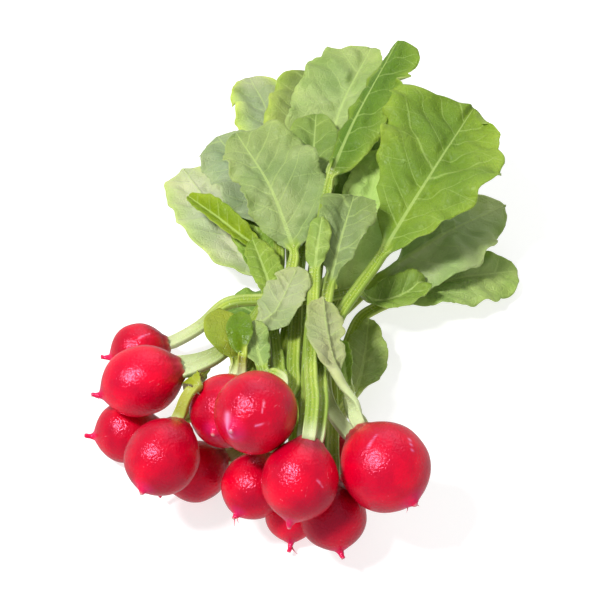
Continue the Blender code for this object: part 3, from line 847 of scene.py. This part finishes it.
def own_tint(node, upper):
    """The plain colour of one side. A pale leaf lies on its face, so its tint is its back's."""
    own = np.array(TINT[node])
    back_shown = SLOT[node] == "leaf_pale"
    if back_shown and upper:
        return own * (0.6, 0.75, 0.35)
    if not back_shown and not upper:
        return 0.45 * own + 0.55 * np.array(BACK_TINT)
    return own


def stalk_tint(node, looks):
    """A stalk has painted light along its sides, painted shade in stripes along it, and is pale at its
    foot.
    """
    stalk = np.broadcast_to(OLD_STALK if node == "leaf_11" else STALK_TINT, (*looks["u"].shape, 3))
    if node not in PLAIN_STALKS:
        # Painted light toward the sides of the stalk, then painted shade in stripes along it.
        stalk = toward(stalk, STALK_EDGE_LIGHT, np.abs(looks["u"]) ** 2)
        stalk = toward(stalk, STALK_GROOVE_SHADE, 0.4 - 0.4 * np.cos(9.4 * looks["u"]))
    high = PALE_FOOT.get(node, USUAL_FOOT)
    return toward(stalk, STALK_FOOT, 1 - smoothstep(1, high, looks["from_crown"]))


def tint_leaf(node, looks, upper):
    """The colour of every point of one side of a leaf."""
    own = own_tint(node, upper)
    y, u = looks["y"], looks["u"]
    colour = np.broadcast_to(own, (*y.shape, 3)).copy()
    patchy = 0.5 + 0.25 * np.sin(y * 7 + u * 2) + 0.25 * np.sin(y * 3 - u * 4 + 7)
    colour = toward(colour, own * (1.3, 1.2, 1.1), 0.6 * patchy)
    colour = toward(colour, own * (1.3, 1.15, 0.7), 0.25 * smoothstep(0.55, 1.0, y))
    colour = toward(colour, YELLOW, YELLOW_RIM.get(node, USUAL_RIM) * looks["rim"])
    return toward(colour, stalk_tint(node, looks), looks["stalk"])


print("half yellow, half green:", toward(np.array(YELLOW), STALK_GROOVE_SHADE, np.array(0.5)))


# %% [markdown]
# ## Writing to a mesh
# A mesh can carry a colour, a number or a place on a flat map for each of its points, and the
# finishes read them by name. Blender takes whole lists at once, which is much quicker than one
# point at a time. Normals are turned outward after the points are in place: if the volume comes
# out negative, all the faces look inward and are turned round.

# %% Writing to a mesh
def paint(mesh, name, colour):
    """Keeps a colour for every vertex."""
    rgba = np.concatenate([colour, np.ones((len(colour), 1))], axis=1)
    mesh.attributes.new(name, "FLOAT_COLOR", "POINT").data.foreach_set("color", rgba.ravel())


def lay_map(mesh, name, place):
    """Keeps the place on the flat map for every vertex, face corner by face corner."""
    corner = np.empty(len(mesh.loops), int)
    mesh.loops.foreach_get("vertex_index", corner)
    mesh.uv_layers.new(name=name).data.foreach_set("uv", place[corner].ravel())


def face_out(mesh):
    """Turns all normals outward and shades the mesh smooth."""
    bm = bmesh.new()
    bm.from_mesh(mesh)
    bmesh.ops.recalc_face_normals(bm, faces=bm.faces)
    if bm.calc_volume(signed=True) < 0:
        bmesh.ops.reverse_faces(bm, faces=bm.faces)
    bm.to_mesh(mesh)
    bm.free()
    mesh.shade_smooth()


def as_mesh(name, bm):
    mesh = bpy.data.meshes.new(name)
    bm.to_mesh(mesh)
    bm.free()
    return mesh


def test_cube():
    bm = bmesh.new()
    bmesh.ops.create_cube(bm, size=1)
    bmesh.ops.reverse_faces(bm, faces=bm.faces)
    return as_mesh("test", bm)


sample = test_cube()
face_out(sample)
print("outward after turning:", all(face.normal.dot(face.center) > 0 for face in sample.polygons))
bpy.data.meshes.remove(sample)


# %% [markdown]
# ## The mesh of a leaf
# A leaf is one closed thin skin. Blender's grid operator makes the upper side and extruding it
# makes the lower one and the narrow band between them, so the mesh is closed without any care
# for its corners. Then every vertex is put in its place: it knows its row and column from where
# the operator left it. The tints and the vein values are written to the mesh in the same order.

# %% The mesh of a leaf
def double_grid(name, rows, columns):
    """Two grids joined round their rims, and the row and column of every vertex."""
    bm = bmesh.new()
    bmesh.ops.create_grid(bm, x_segments=columns - 1, y_segments=rows - 1, size=1)
    bmesh.ops.extrude_face_region(bm, geom=bm.faces[:], use_keep_orig=True)
    mesh = as_mesh(name, bm)
    flat = np.empty(len(mesh.vertices) * 3)
    mesh.vertices.foreach_get("co", flat)
    flat = flat.reshape(-1, 3)
    row = np.rint((flat[:, 1] + 1) / 2 * (rows - 1)).astype(int)
    column = np.rint((flat[:, 0] + 1) / 2 * (columns - 1)).astype(int)
    return mesh, row, column


def shell(node, top, under, looks):
    """One closed thin mesh from the two sides of a leaf."""
    rows, columns = top.shape[:2]
    mesh, row, column = double_grid(node, rows, columns)
    lower = (np.arange(len(row)) >= rows * columns)[:, None]
    co = np.where(lower, under[row, column], top[row, column])
    mesh.vertices.foreach_set("co", co.ravel())
    above, below = (tint_leaf(node, looks, upper)[row, column] for upper in (True, False))
    paint(mesh, "tint", np.where(lower, below, above))
    blade = (1 - looks["stalk"])[row, column]
    mesh.attributes.new("blade", "FLOAT", "POINT").data.foreach_set("value", blade)
    for name in ("veins", "parts"):
        layer = mesh.attributes.new(name, "FLOAT_VECTOR", "POINT")
        layer.data.foreach_set("vector", looks[name][row, column].ravel())
    lay_map(mesh, "leaf", looks["map"][row, column])
    face_out(mesh)
    return mesh


def stand_for(node, mesh):
    """Puts a finer piece in the place of its node."""
    piece = bpy.data.objects.new("fine_" + node, mesh)
    bpy.context.scene.collection.objects.link(piece)
    mesh.materials.append(FINISH[SLOT[node]])
    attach(piece, "root")
    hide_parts(node)
    return piece


FINE_LEAVES = {node: fine_leaf(node) for node in LEAVES}
total = 0
for node, (top, under, looks) in FINE_LEAVES.items():
    mesh = shell(node, top, under, looks)
    stand_for(node, mesh)
    total += len(mesh.polygons) * 2
print("leaves made, triangles:", total)


# %% [markdown]
# ## Where the hairs stand
# Stalks of a radish are bristly. Hairs are scattered over the rows of the grid that belong to the
# stalk, three for every millimetre of it. Seven in ten stand on the upper side. Each points away
# from the skin, and leans a little its own way, as no two hairs of a plant are parallel.

# %% Where the hairs stand
HAIRS_PER_MM = 3.0
SHARE_BELOW = 0.3


def hair_roots(node, top, under, looks):
    """Seeded places on a stalk where hairs stand, with their directions."""
    chance = np.random.default_rng(int(node[-2:]) + 700)
    rows = int((looks["stalk"][:, 0] > 0.5).sum())
    count = int(looks["from_crown"][rows, 0] * HAIRS_PER_MM)
    row, column = chance.integers(1, rows, count), chance.integers(0, top.shape[1], count)
    below = (chance.random(count) < SHARE_BELOW)[:, None]
    spots = np.where(below, under[row, column], top[row, column])
    outward = unit(top - under)[row, column]
    away = unit(np.where(below, -outward, outward))
    return spots, unit(away + chance.normal(0, 0.35, (count, 3)))


stands = [hair_roots(node, *sides) for node, sides in FINE_LEAVES.items()]
print("hairs:", sum(len(spots) for spots, ways in stands))


# %% [markdown]
# ## Hairs on the stalks
# Each hair is a tiny three-sided cone, and all of them are joined in one mesh. You could use
# particles, but plain cones can go anywhere that a mesh goes. A cone is made upright at the
# origin, so a matrix turns it to its direction and moves it to its place. Its foot sinks a little
# into the skin, so none of them floats.

# %% Hairs on the stalks
HAIR_LENGTH = 0.001
HAIR_FOOT, HAIR_TIP = 0.00007, 0.00001  # radius at each end


def leaf_hairs(spots, ways, chance):
    """The hairs of one stalk as a mesh."""
    bm = bmesh.new()
    for spot, way in zip(spots, ways):
        tall = HAIR_LENGTH * chance.uniform(0.7, 1.5)
        turn = Vector(way).to_track_quat("Z", "X").to_matrix().to_4x4()
        put = Matrix.Translation(Vector(spot) + Vector(way) * tall * 0.4) @ turn
        bmesh.ops.create_cone(
            bm, segments=3, radius1=HAIR_FOOT, radius2=HAIR_TIP, depth=tall, matrix=put
        )
    return as_mesh("hairs", bm)


def joined(name, meshes):
    """One mesh of many; the single ones are thrown away."""
    bm = bmesh.new()
    for mesh in meshes:
        bm.from_mesh(mesh)
        bpy.data.meshes.remove(mesh)
    return as_mesh(name, bm)


def plain_finish(name, colour, rough):
    n = Nodes(name)
    n.shade(Base_Color=(*colour, 1), Roughness=rough, Subsurface_Weight=0.2, Subsurface_Scale=0.001)
    return n.material


def extra_piece(name, mesh, finish):
    """A piece that stands for no node of the frame."""
    piece = bpy.data.objects.new(name, mesh)
    bpy.context.scene.collection.objects.link(piece)
    mesh.materials.append(finish)
    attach(piece, "root")
    return piece


chance = np.random.default_rng(5)
hairs = joined("hairs", [leaf_hairs(spots, ways, chance) for spots, ways in stands])
extra_piece("stalk_hairs", hairs, plain_finish("hair", (0.75, 0.80, 0.55), 0.5))
print("polygons of the hairs:", len(hairs.polygons))


# %% [markdown]
# ## The profile of a root
# A root is a lathe shape, so its frame mesh gives a profile: how far the skin is from the axis at
# each ring. The crown is the many-sided flat that isn't on the table, and the axis goes through
# its middle. A root's tail may bend aside, so each ring far from the crown also tells how far its
# own middle is off the axis. Three numbers for a ring are all that the next step needs.

# %% The profile of a root
CROWN_FLAT = 2e-5  # how far off the crown's plane a point may be
TABLE = 1e-4  # points below this height are on the table
RING_GAP = 1.2e-4  # a step in depth that starts a new ring
TURNED = 14  # points in a whole ring
BEND_FROM = 0.02  # depth from which a tail may bend aside


def crown_of(bm):
    """Middle and direction of the flat crown, the many-sided flat that isn't on the table."""
    patches = [(flat_patch(face, CROWN_FLAT), face.normal) for face in bm.faces]
    above = [p for p in patches if max(v.co.z for v in p[0]) > TABLE]
    rim, up = max(above, key=lambda p: len(p[0]))
    corners = [v.co for v in sorted(rim, key=lambda v: v.index)]
    return np.array(sum(corners, Vector()) / len(rim)), np.array(up)


def root_rings(node):
    """Middle and axis of the crown, then (depth, radius, aside) of each ring down to the tail."""
    bm = merged(node)
    middle, axis = crown_of(bm)
    points = np.array([v.co for v in bm.verts if v.co.z > TABLE]) - middle
    bm.free()
    depth = -points @ axis
    order = np.argsort(depth)
    groups = np.split(order, np.flatnonzero(np.diff(depth[order]) > RING_GAP) + 1)
    rings = []
    for group in groups:
        flat = points[group] + depth[group, None] * axis
        bent = len(group) >= TURNED and depth[group].mean() > BEND_FROM
        aside = flat[:TURNED].mean(axis=0) if bent else np.zeros(3)
        radius = np.linalg.norm(flat - aside, axis=1).max() if len(group) > 2 else 0.0
        rings.append((depth[group].mean(), radius, aside))
    return middle, axis, rings


RING_STEP = 0.55  # mm along the profile between rings of the finer root


def root_profile(rings):
    """Smooth profile in mm from the crown to the tail: length run, depth, radius, aside."""
    depth = np.array([0.0] + [ring[0] for ring in rings]) * MM
    out = np.array([0.0] + [ring[1] for ring in rings]) * MM
    aside = np.array([np.zeros(3)] + [ring[2] for ring in rings]) * MM
    knots = np.concatenate([[0], np.cumsum(np.hypot(np.diff(depth), np.diff(out)))])
    s = np.linspace(0, knots[-1], int(knots[-1] / RING_STEP))
    curve = curve_through(np.column_stack([depth, out, aside]), knots, s)
    return s[:, None], curve[:, :1], np.maximum(curve[:, 1:2], 0.0), curve[:, 2:], out.max()


s, d, r, aside, big = root_profile(root_rings("root_01")[2])
print("root_01:", len(s), "rings,", round(2 * big, 1), "mm across,", round(d.max(), 1), "mm deep")


# %% [markdown]
# ## The relief of a root
# Real roots aren't perfect. Six sine waves round the root, the slow ones the strongest, make
# shallow dents. The shoulder under the crown is furrowed, the crown itself is a ring of scales
# where old leaves came off, and the tail wrinkles as it narrows. Each form has a mask made of
# radius and depth, 1 where the form belongs and 0 elsewhere, with a soft change between.

# %% The relief of a root
COLUMNS = 104
DENT = 0.012  # of the root's radius
FURROW, WRINKLE = 0.30, 0.10  # mm
ASLANT = (0.31, 0.17, 0.93)  # a direction that no root's axis has
OFF_FLOOR = 0.02  # mm


def fine_root(node):
    """Points of the finer root, ring by ring, with what the colours need."""
    chance = np.random.default_rng(int(node[-2:]))
    middle, axis, rings = root_rings(node)
    s, d, r, aside, big = root_profile(rings)
    angle = np.linspace(0, 2 * np.pi, COLUMNS, endpoint=False)[None]
    lumps = sum(
        chance.normal(0, 1.0 / k)
        * np.sin(k * angle + chance.uniform(0, 6) + d * chance.uniform(-0.12, 0.12))
        for k in range(1, 7)
    )
    body = smoothstep(0.25 * big, 0.8 * big, r)
    shoulder = bell(r / big - 0.52, 0.22) * (d < 0.5 * big)
    furrow = sum(np.cos(k * angle + chance.uniform(0, 6)) for k in (5, 8, 13)) / 3
    tail = smoothstep(0.45 * big, 0.16 * big, r) * (d > big)
    wrinkle = np.sin(s * 2.6 + 1.5 * np.sin(angle + chance.uniform(0, 6)) + lumps)
    push = DENT * big * lumps * body + FURROW * furrow * shoulder + WRINKLE * wrinkle * tail
    heart = smoothstep(0.46 * big, 0.20 * big, r) * (d < 0.4 * big)
    scales = 0.5 + 0.5 * np.sin(angle * 9 + chance.uniform(0, 6) + 1.5 * np.sin(angle * 2))
    rise = heart * (0.8 + 0.5 * scales * bell(r / big - 0.30, 0.10))
    side = unit(np.cross(axis, ASLANT))
    front = np.cross(axis, side)
    ray = np.cos(angle)[..., None] * side + np.sin(angle)[..., None] * front
    points = middle * MM + aside[:, None] - (d - rise)[..., None] * axis
    points = points + (r + push)[..., None] * ray
    points[..., 2] = np.maximum(points[..., 2], OFF_FLOOR)
    centre = middle * MM - 1.05 * big * axis
    looks = {
        "s": s, "d": d, "r": r / big, "big": big, "heart": heart, "tail": tail,
        "angle": angle, "from_centre": (points - centre) / big,
    }
    return points / MM, looks, chance


points, looks, chance = fine_root("root_01")
print("root_01:", points.shape[0], "by", points.shape[1], "points")


# %% [markdown]
# ## Tints and scrapes of the roots
# The red isn't even: it wanders between crimson and a deeper red, turns brown at the crown and
# pink, then white, down the tail. Where roots were rubbed or knocked, the skin is off and pale
# flesh shows. A scrape is a short arc on a ball: two directions from the middle of the root, and
# a width. The nearer a point's own direction is to the arc, the more skin it has lost.

# %% Tints and scrapes of the roots
CRIMSON, DEEP, PINK = (0.66, 0.0, 0.018), (0.38, 0.0, 0.016), (0.80, 0.02, 0.12)
BROWN, TAIL_WHITE, EARTH = (0.20, 0.02, 0.022), (0.72, 0.32, 0.28), (0.42, 0.26, 0.14)
BARE = (0.86, 0.28, 0.42)
# Roots painted brighter or deeper than the others: partly their own tone, partly painted light and shade
# for how much light each root catches.
ROOT_TONE_AND_LIGHT = {
    "root_02": 1.25, "root_05": 1.1, "root_09": 1.05, "root_10": 0.9, "root_11": 1.3,
    "root_12": 1.15,
}
# Scrapes in the skin: the two directions that each runs between, and its half width.
SCRAPES = {
    "root_01": [((0.1, -0.16, 0.98), (0.45, 0.09, 0.89), 0.03)],
    "root_07": [
        ((-0.64, -0.50, 0.59), (-0.54, -0.81, 0.23), 0.075),
        ((0.20, -0.34, 0.92), (0.15, -0.57, 0.81), 0.02),
        ((0.0, -0.80, 0.60), (0.31, -0.73, 0.61), 0.02),
    ],
    "root_12": [
        ((-0.41, -0.07, 0.91), (-0.23, 0.21, 0.95), 0.022),
        ((0.50, 0.20, 0.84), (0.55, -0.13, 0.83), 0.022),
    ],
    "root_09": [((0.45, -0.5, 0.74), (0.58, -0.58, 0.57), 0.02)],
}


def scraped(node, spots):
    """How far the skin is rubbed off at each point, from 0 to 1."""
    worn = np.zeros(spots.shape[:2])
    for start, end, wide in SCRAPES.get(node, ()):
        start, along = np.array(start), np.array(end) - start
        share = np.clip((spots - start) @ along / (along @ along), 0, 1)
        gap = np.linalg.norm(unit(spots) - unit(start + share[..., None] * along), axis=-1)
        worn = np.maximum(worn, bell(gap, 1.1 * wide * (0.75 + 0.25 * np.sin(share * 5 + 1))))
    return worn


def tint_root(node, looks, chance):
    """The colour of every point of a root."""
    d, r = looks["d"], looks["r"]
    wander = 0.5 + 0.5 * np.sin(looks["angle"] * 2 + d * 0.2 + chance.uniform(0, 6))
    colour = np.broadcast_to(np.array(CRIMSON), (*wander.shape, 3)).copy()
    # Scaled per root: partly its own tone, partly painted light and shade.
    colour = toward(colour, DEEP, 0.5 * wander) * ROOT_TONE_AND_LIGHT.get(node, 1.0)
    near_crown = bell(r - 0.42, 0.16) * (d < 0.4 * looks["big"])
    colour = toward(colour, BROWN, 0.7 * near_crown)
    colour = toward(colour, EARTH, 0.8 * looks["heart"] ** 2)
    colour = toward(colour, PINK, 0.7 * looks["tail"] * (0.55 + 0.45 * wander))
    colour = toward(colour, BARE, 0.85 * scraped(node, looks["from_centre"]))
    return toward(colour, TAIL_WHITE, smoothstep(0.07, 0.04, r) * (looks["tail"] > 0.5))


print("roots with scrapes:", ", ".join(SCRAPES))


# %% [markdown]
# ## The mesh of a root
# Blender's sphere operator makes the mesh: rings of points between two poles, closed at both
# ends. Every vertex reads its ring and its place on the ring from its own latitude and longitude,
# and then moves to its place on the root. That saves writing out any faces, and each ring may be
# as wide as it likes.

# %% The mesh of a root
def ball(name, rows, columns):
    """A closed ball of rings, with the row and column of every vertex."""
    bm = bmesh.new()
    bmesh.ops.create_uvsphere(bm, u_segments=columns, v_segments=rows + 1, radius=1)
    bm.verts.ensure_lookup_table()
    latitude = np.array([math.acos(max(-1, min(1, v.co.z))) for v in bm.verts])
    longitude = np.array([math.atan2(v.co.y, v.co.x) for v in bm.verts]) % (2 * math.pi)
    row = np.rint(latitude / math.pi * (rows + 1)).astype(int) - 1
    column = np.rint(longitude / (2 * math.pi) * columns).astype(int) % columns
    return as_mesh(name, bm), row, column


def lathe(name, points, tints, looks):
    """A closed mesh of rings, with one pole at each end."""
    rows, columns = points.shape[:2]
    mesh, row, column = ball(name, rows, columns)
    inner = np.clip(row, 0, rows - 1)
    pole = (row < 0) | (row >= rows)
    co = np.where(pole[:, None], points[inner].mean(axis=1), points[inner, column])
    mesh.vertices.foreach_set("co", co.ravel())
    paint(mesh, "tint", tints[inner, column])
    round_mm = column / columns * 2 * np.pi * looks["big"]
    lay_map(mesh, "root", np.stack([round_mm, looks["s"][inner, 0]], axis=1) / MAP_SCALE)
    face_out(mesh)
    return mesh


sample = ball("sample", 10, 8)[0]
print("a ball of 10 rings of 8 points has", len(sample.vertices), "vertices with its poles")
bpy.data.meshes.remove(sample)


# %% [markdown]
# ## Side threads
# Here and there a root has a short thread near the end of its tail, where the fine roots were
# torn off. It's a thin tube along a bent path, narrower at its end, made with the same ball of
# rings as the root itself. Its length, bend and number are left to chance, and it's kept above
# the table.

# %% Side threads
THREAD_RINGS, THREAD_SIDES = 9, 6
THREAD_THICK = 0.00025  # radius at the foot
THREAD_BEND = 0.35  # of its length
THREAD_COLOUR = (0.80, 0.10, 0.16)


def rootlet(foot, way, long, chance):
    """A thin bent thread, as rings round a curve."""
    t = np.linspace(0, 1, THREAD_RINGS)[:, None]
    bend = unit(chance.normal(0, 1, 3)) * THREAD_BEND
    path = foot + long * (t * way + t**2 * bend)
    side = unit(np.cross(way, (0.3, 0.2, 0.9)))
    front = np.cross(way, side)
    angle = np.linspace(0, 2 * np.pi, THREAD_SIDES, endpoint=False)
    ray = np.cos(angle)[:, None] * side + np.sin(angle)[:, None] * front
    points = path[:, None] + (THREAD_THICK * (1 - 0.8 * t))[..., None] * ray
    points[..., 2] = np.maximum(points[..., 2], 0.00003)
    return points


def rootlets(points, chance):
    """Up to two threads just above the end of the tail."""
    made = []
    last = len(points) - 1
    tail_way = unit(points[last].mean(0) - points[int(last * 0.8)].mean(0))
    for _ in range(chance.integers(0, 3)):
        row = last - chance.integers(2, 9)
        column = chance.integers(0, points.shape[1])
        out = unit(points[row, column] - points[row].mean(0))
        way = unit(tail_way + 0.8 * out + chance.normal(0, 0.2, 3))
        long = 0.001 * chance.uniform(1.2, 3.2)
        made.append(rootlet(points[row, column], way, long, chance))
    return made


def thread_mesh(points):
    colour = np.broadcast_to(THREAD_COLOUR, points.shape)
    return lathe("thread", points, colour, {"big": 1.0, "s": np.zeros((len(points), 1))})


print("threads of root_01 in one try:", len(rootlets(points, np.random.default_rng(1))))


# %% [markdown]
# ## The roots in their places
# Now every root is made in turn: its points, its threads, its tints, its mesh. Each has its own
# seed, taken from its number, so one root can be changed and the others stay as they are. The
# threads of all roots become one piece, since nobody would pick one up alone.

# %% The roots in their places
total = 0
threads = []
for node in NODES:
    if node.startswith("root"):
        points, looks, chance = fine_root(node)
        threads += rootlets(points, chance)
        mesh = lathe(node, points, tint_root(node, looks, chance), looks)
        stand_for(node, mesh)
        total += len(mesh.polygons) * 2
print("roots made, triangles:", total)
rootlet_mesh = joined("rootlets", [thread_mesh(points) for points in threads])
extra_piece("rootlets", rootlet_mesh, FINISH["root_skin"])
print("rootlets:", len(threads))


# %% [markdown]
# ## Floor and light
# The bunch lies on a plain white floor that glows a little, so it stays nearly white even in the
# shade. The floor isn't seen in reflections, or the wet-looking roots would turn milky below. One
# small long soft box, high at the front left, is the key light: it gives each root one bright
# streak, and as the box is turned, the streak lies aslant. A large weak box behind lightens the
# leaves, and an even white sky keeps the shadows open.

# %% Floor and light
FLOOR_HALF = 3.0  # half its width
MIDDLE = (0, 0, 0.03)  # what the lamps point at


def flat_floor():
    """A large glowing plane under the bunch, hidden from reflections."""
    bm = bmesh.new()
    bmesh.ops.create_grid(bm, x_segments=1, y_segments=1, size=FLOOR_HALF)
    mesh = as_mesh("floor", bm)
    n = Nodes("floor white")
    n.shade(Base_Color=(0.44, 0.44, 0.44, 1), Roughness=0.9)
    n.shade(Emission_Color=(1, 1, 1, 1), Emission_Strength=0.71)
    mesh.materials.append(n.material)
    floor = bpy.data.objects.new("floor", mesh)
    bpy.context.scene.collection.objects.link(floor)
    floor.visible_glossy = False


def soft_light(name, place, size, watts, turn=0.0):
    """A soft box, size wide and high in metres, turned round its own axis by turn in degrees."""
    light = bpy.data.lights.new(name, "AREA")
    light.shape = "RECTANGLE"
    light.size, light.size_y = size
    light.energy = watts
    lamp = bpy.data.objects.new(name, light)
    lamp.location = place
    lamp.rotation_euler = (Vector(MIDDLE) - Vector(place)).to_track_quat("-Z", "Y").to_euler()
    lamp.rotation_euler.rotate_axis("Z", math.radians(turn))
    bpy.context.scene.collection.objects.link(lamp)
    print(name, "light:", watts, "W at", place)


def white_sky(strength):
    world = bpy.data.worlds.new("white sky")
    world.use_nodes = True
    background = world.node_tree.nodes["Background"]
    background.inputs["Color"].default_value = (1, 1, 1, 1)
    background.inputs["Strength"].default_value = strength
    bpy.context.scene.world = world


flat_floor()
soft_light("key", (-0.85, -0.35, 1.7), (0.42, 0.18), 43, 40)
soft_light("back", (0.2, 1.3, 1.3), (1.5, 1.5), 10)
white_sky(0.50)
bpy.context.scene.view_settings.view_transform = "Standard"


# %% [markdown]
# ## Camera
# The camera stands on the root side and looks down at 52 degrees. It's nearly a metre away with a
# long lens, so that near and far roots keep their true sizes. It aims a little in front of the
# middle of the bunch and above it, which leaves about as much floor in front as behind.

# %% Camera
LOOK_DOWN = math.radians(52)
AWAY = 0.9  # from the point it aims at
LENS = 135  # mm
AIM_OFF = (-0.0035, -0.0398, 0.0196)  # from the middle of the bunch

aim = Vector([(low + high) / 2 + off for low, high, off in zip(*map(Vector, cad_box), AIM_OFF)])
camera = bpy.data.objects.new("camera", bpy.data.cameras.new("camera"))
camera.data.lens = LENS
camera.location = aim + AWAY * Vector((0, -math.cos(LOOK_DOWN), math.sin(LOOK_DOWN)))
camera.rotation_euler = (math.pi / 2 - LOOK_DOWN, 0, 0)
bpy.context.scene.collection.objects.link(camera)
bpy.context.scene.camera = camera
print("camera at", [round(value, 3) for value in camera.location])


# %% [markdown]
# ## Size
# Finer pieces should fill the same box as the solids they stand for.
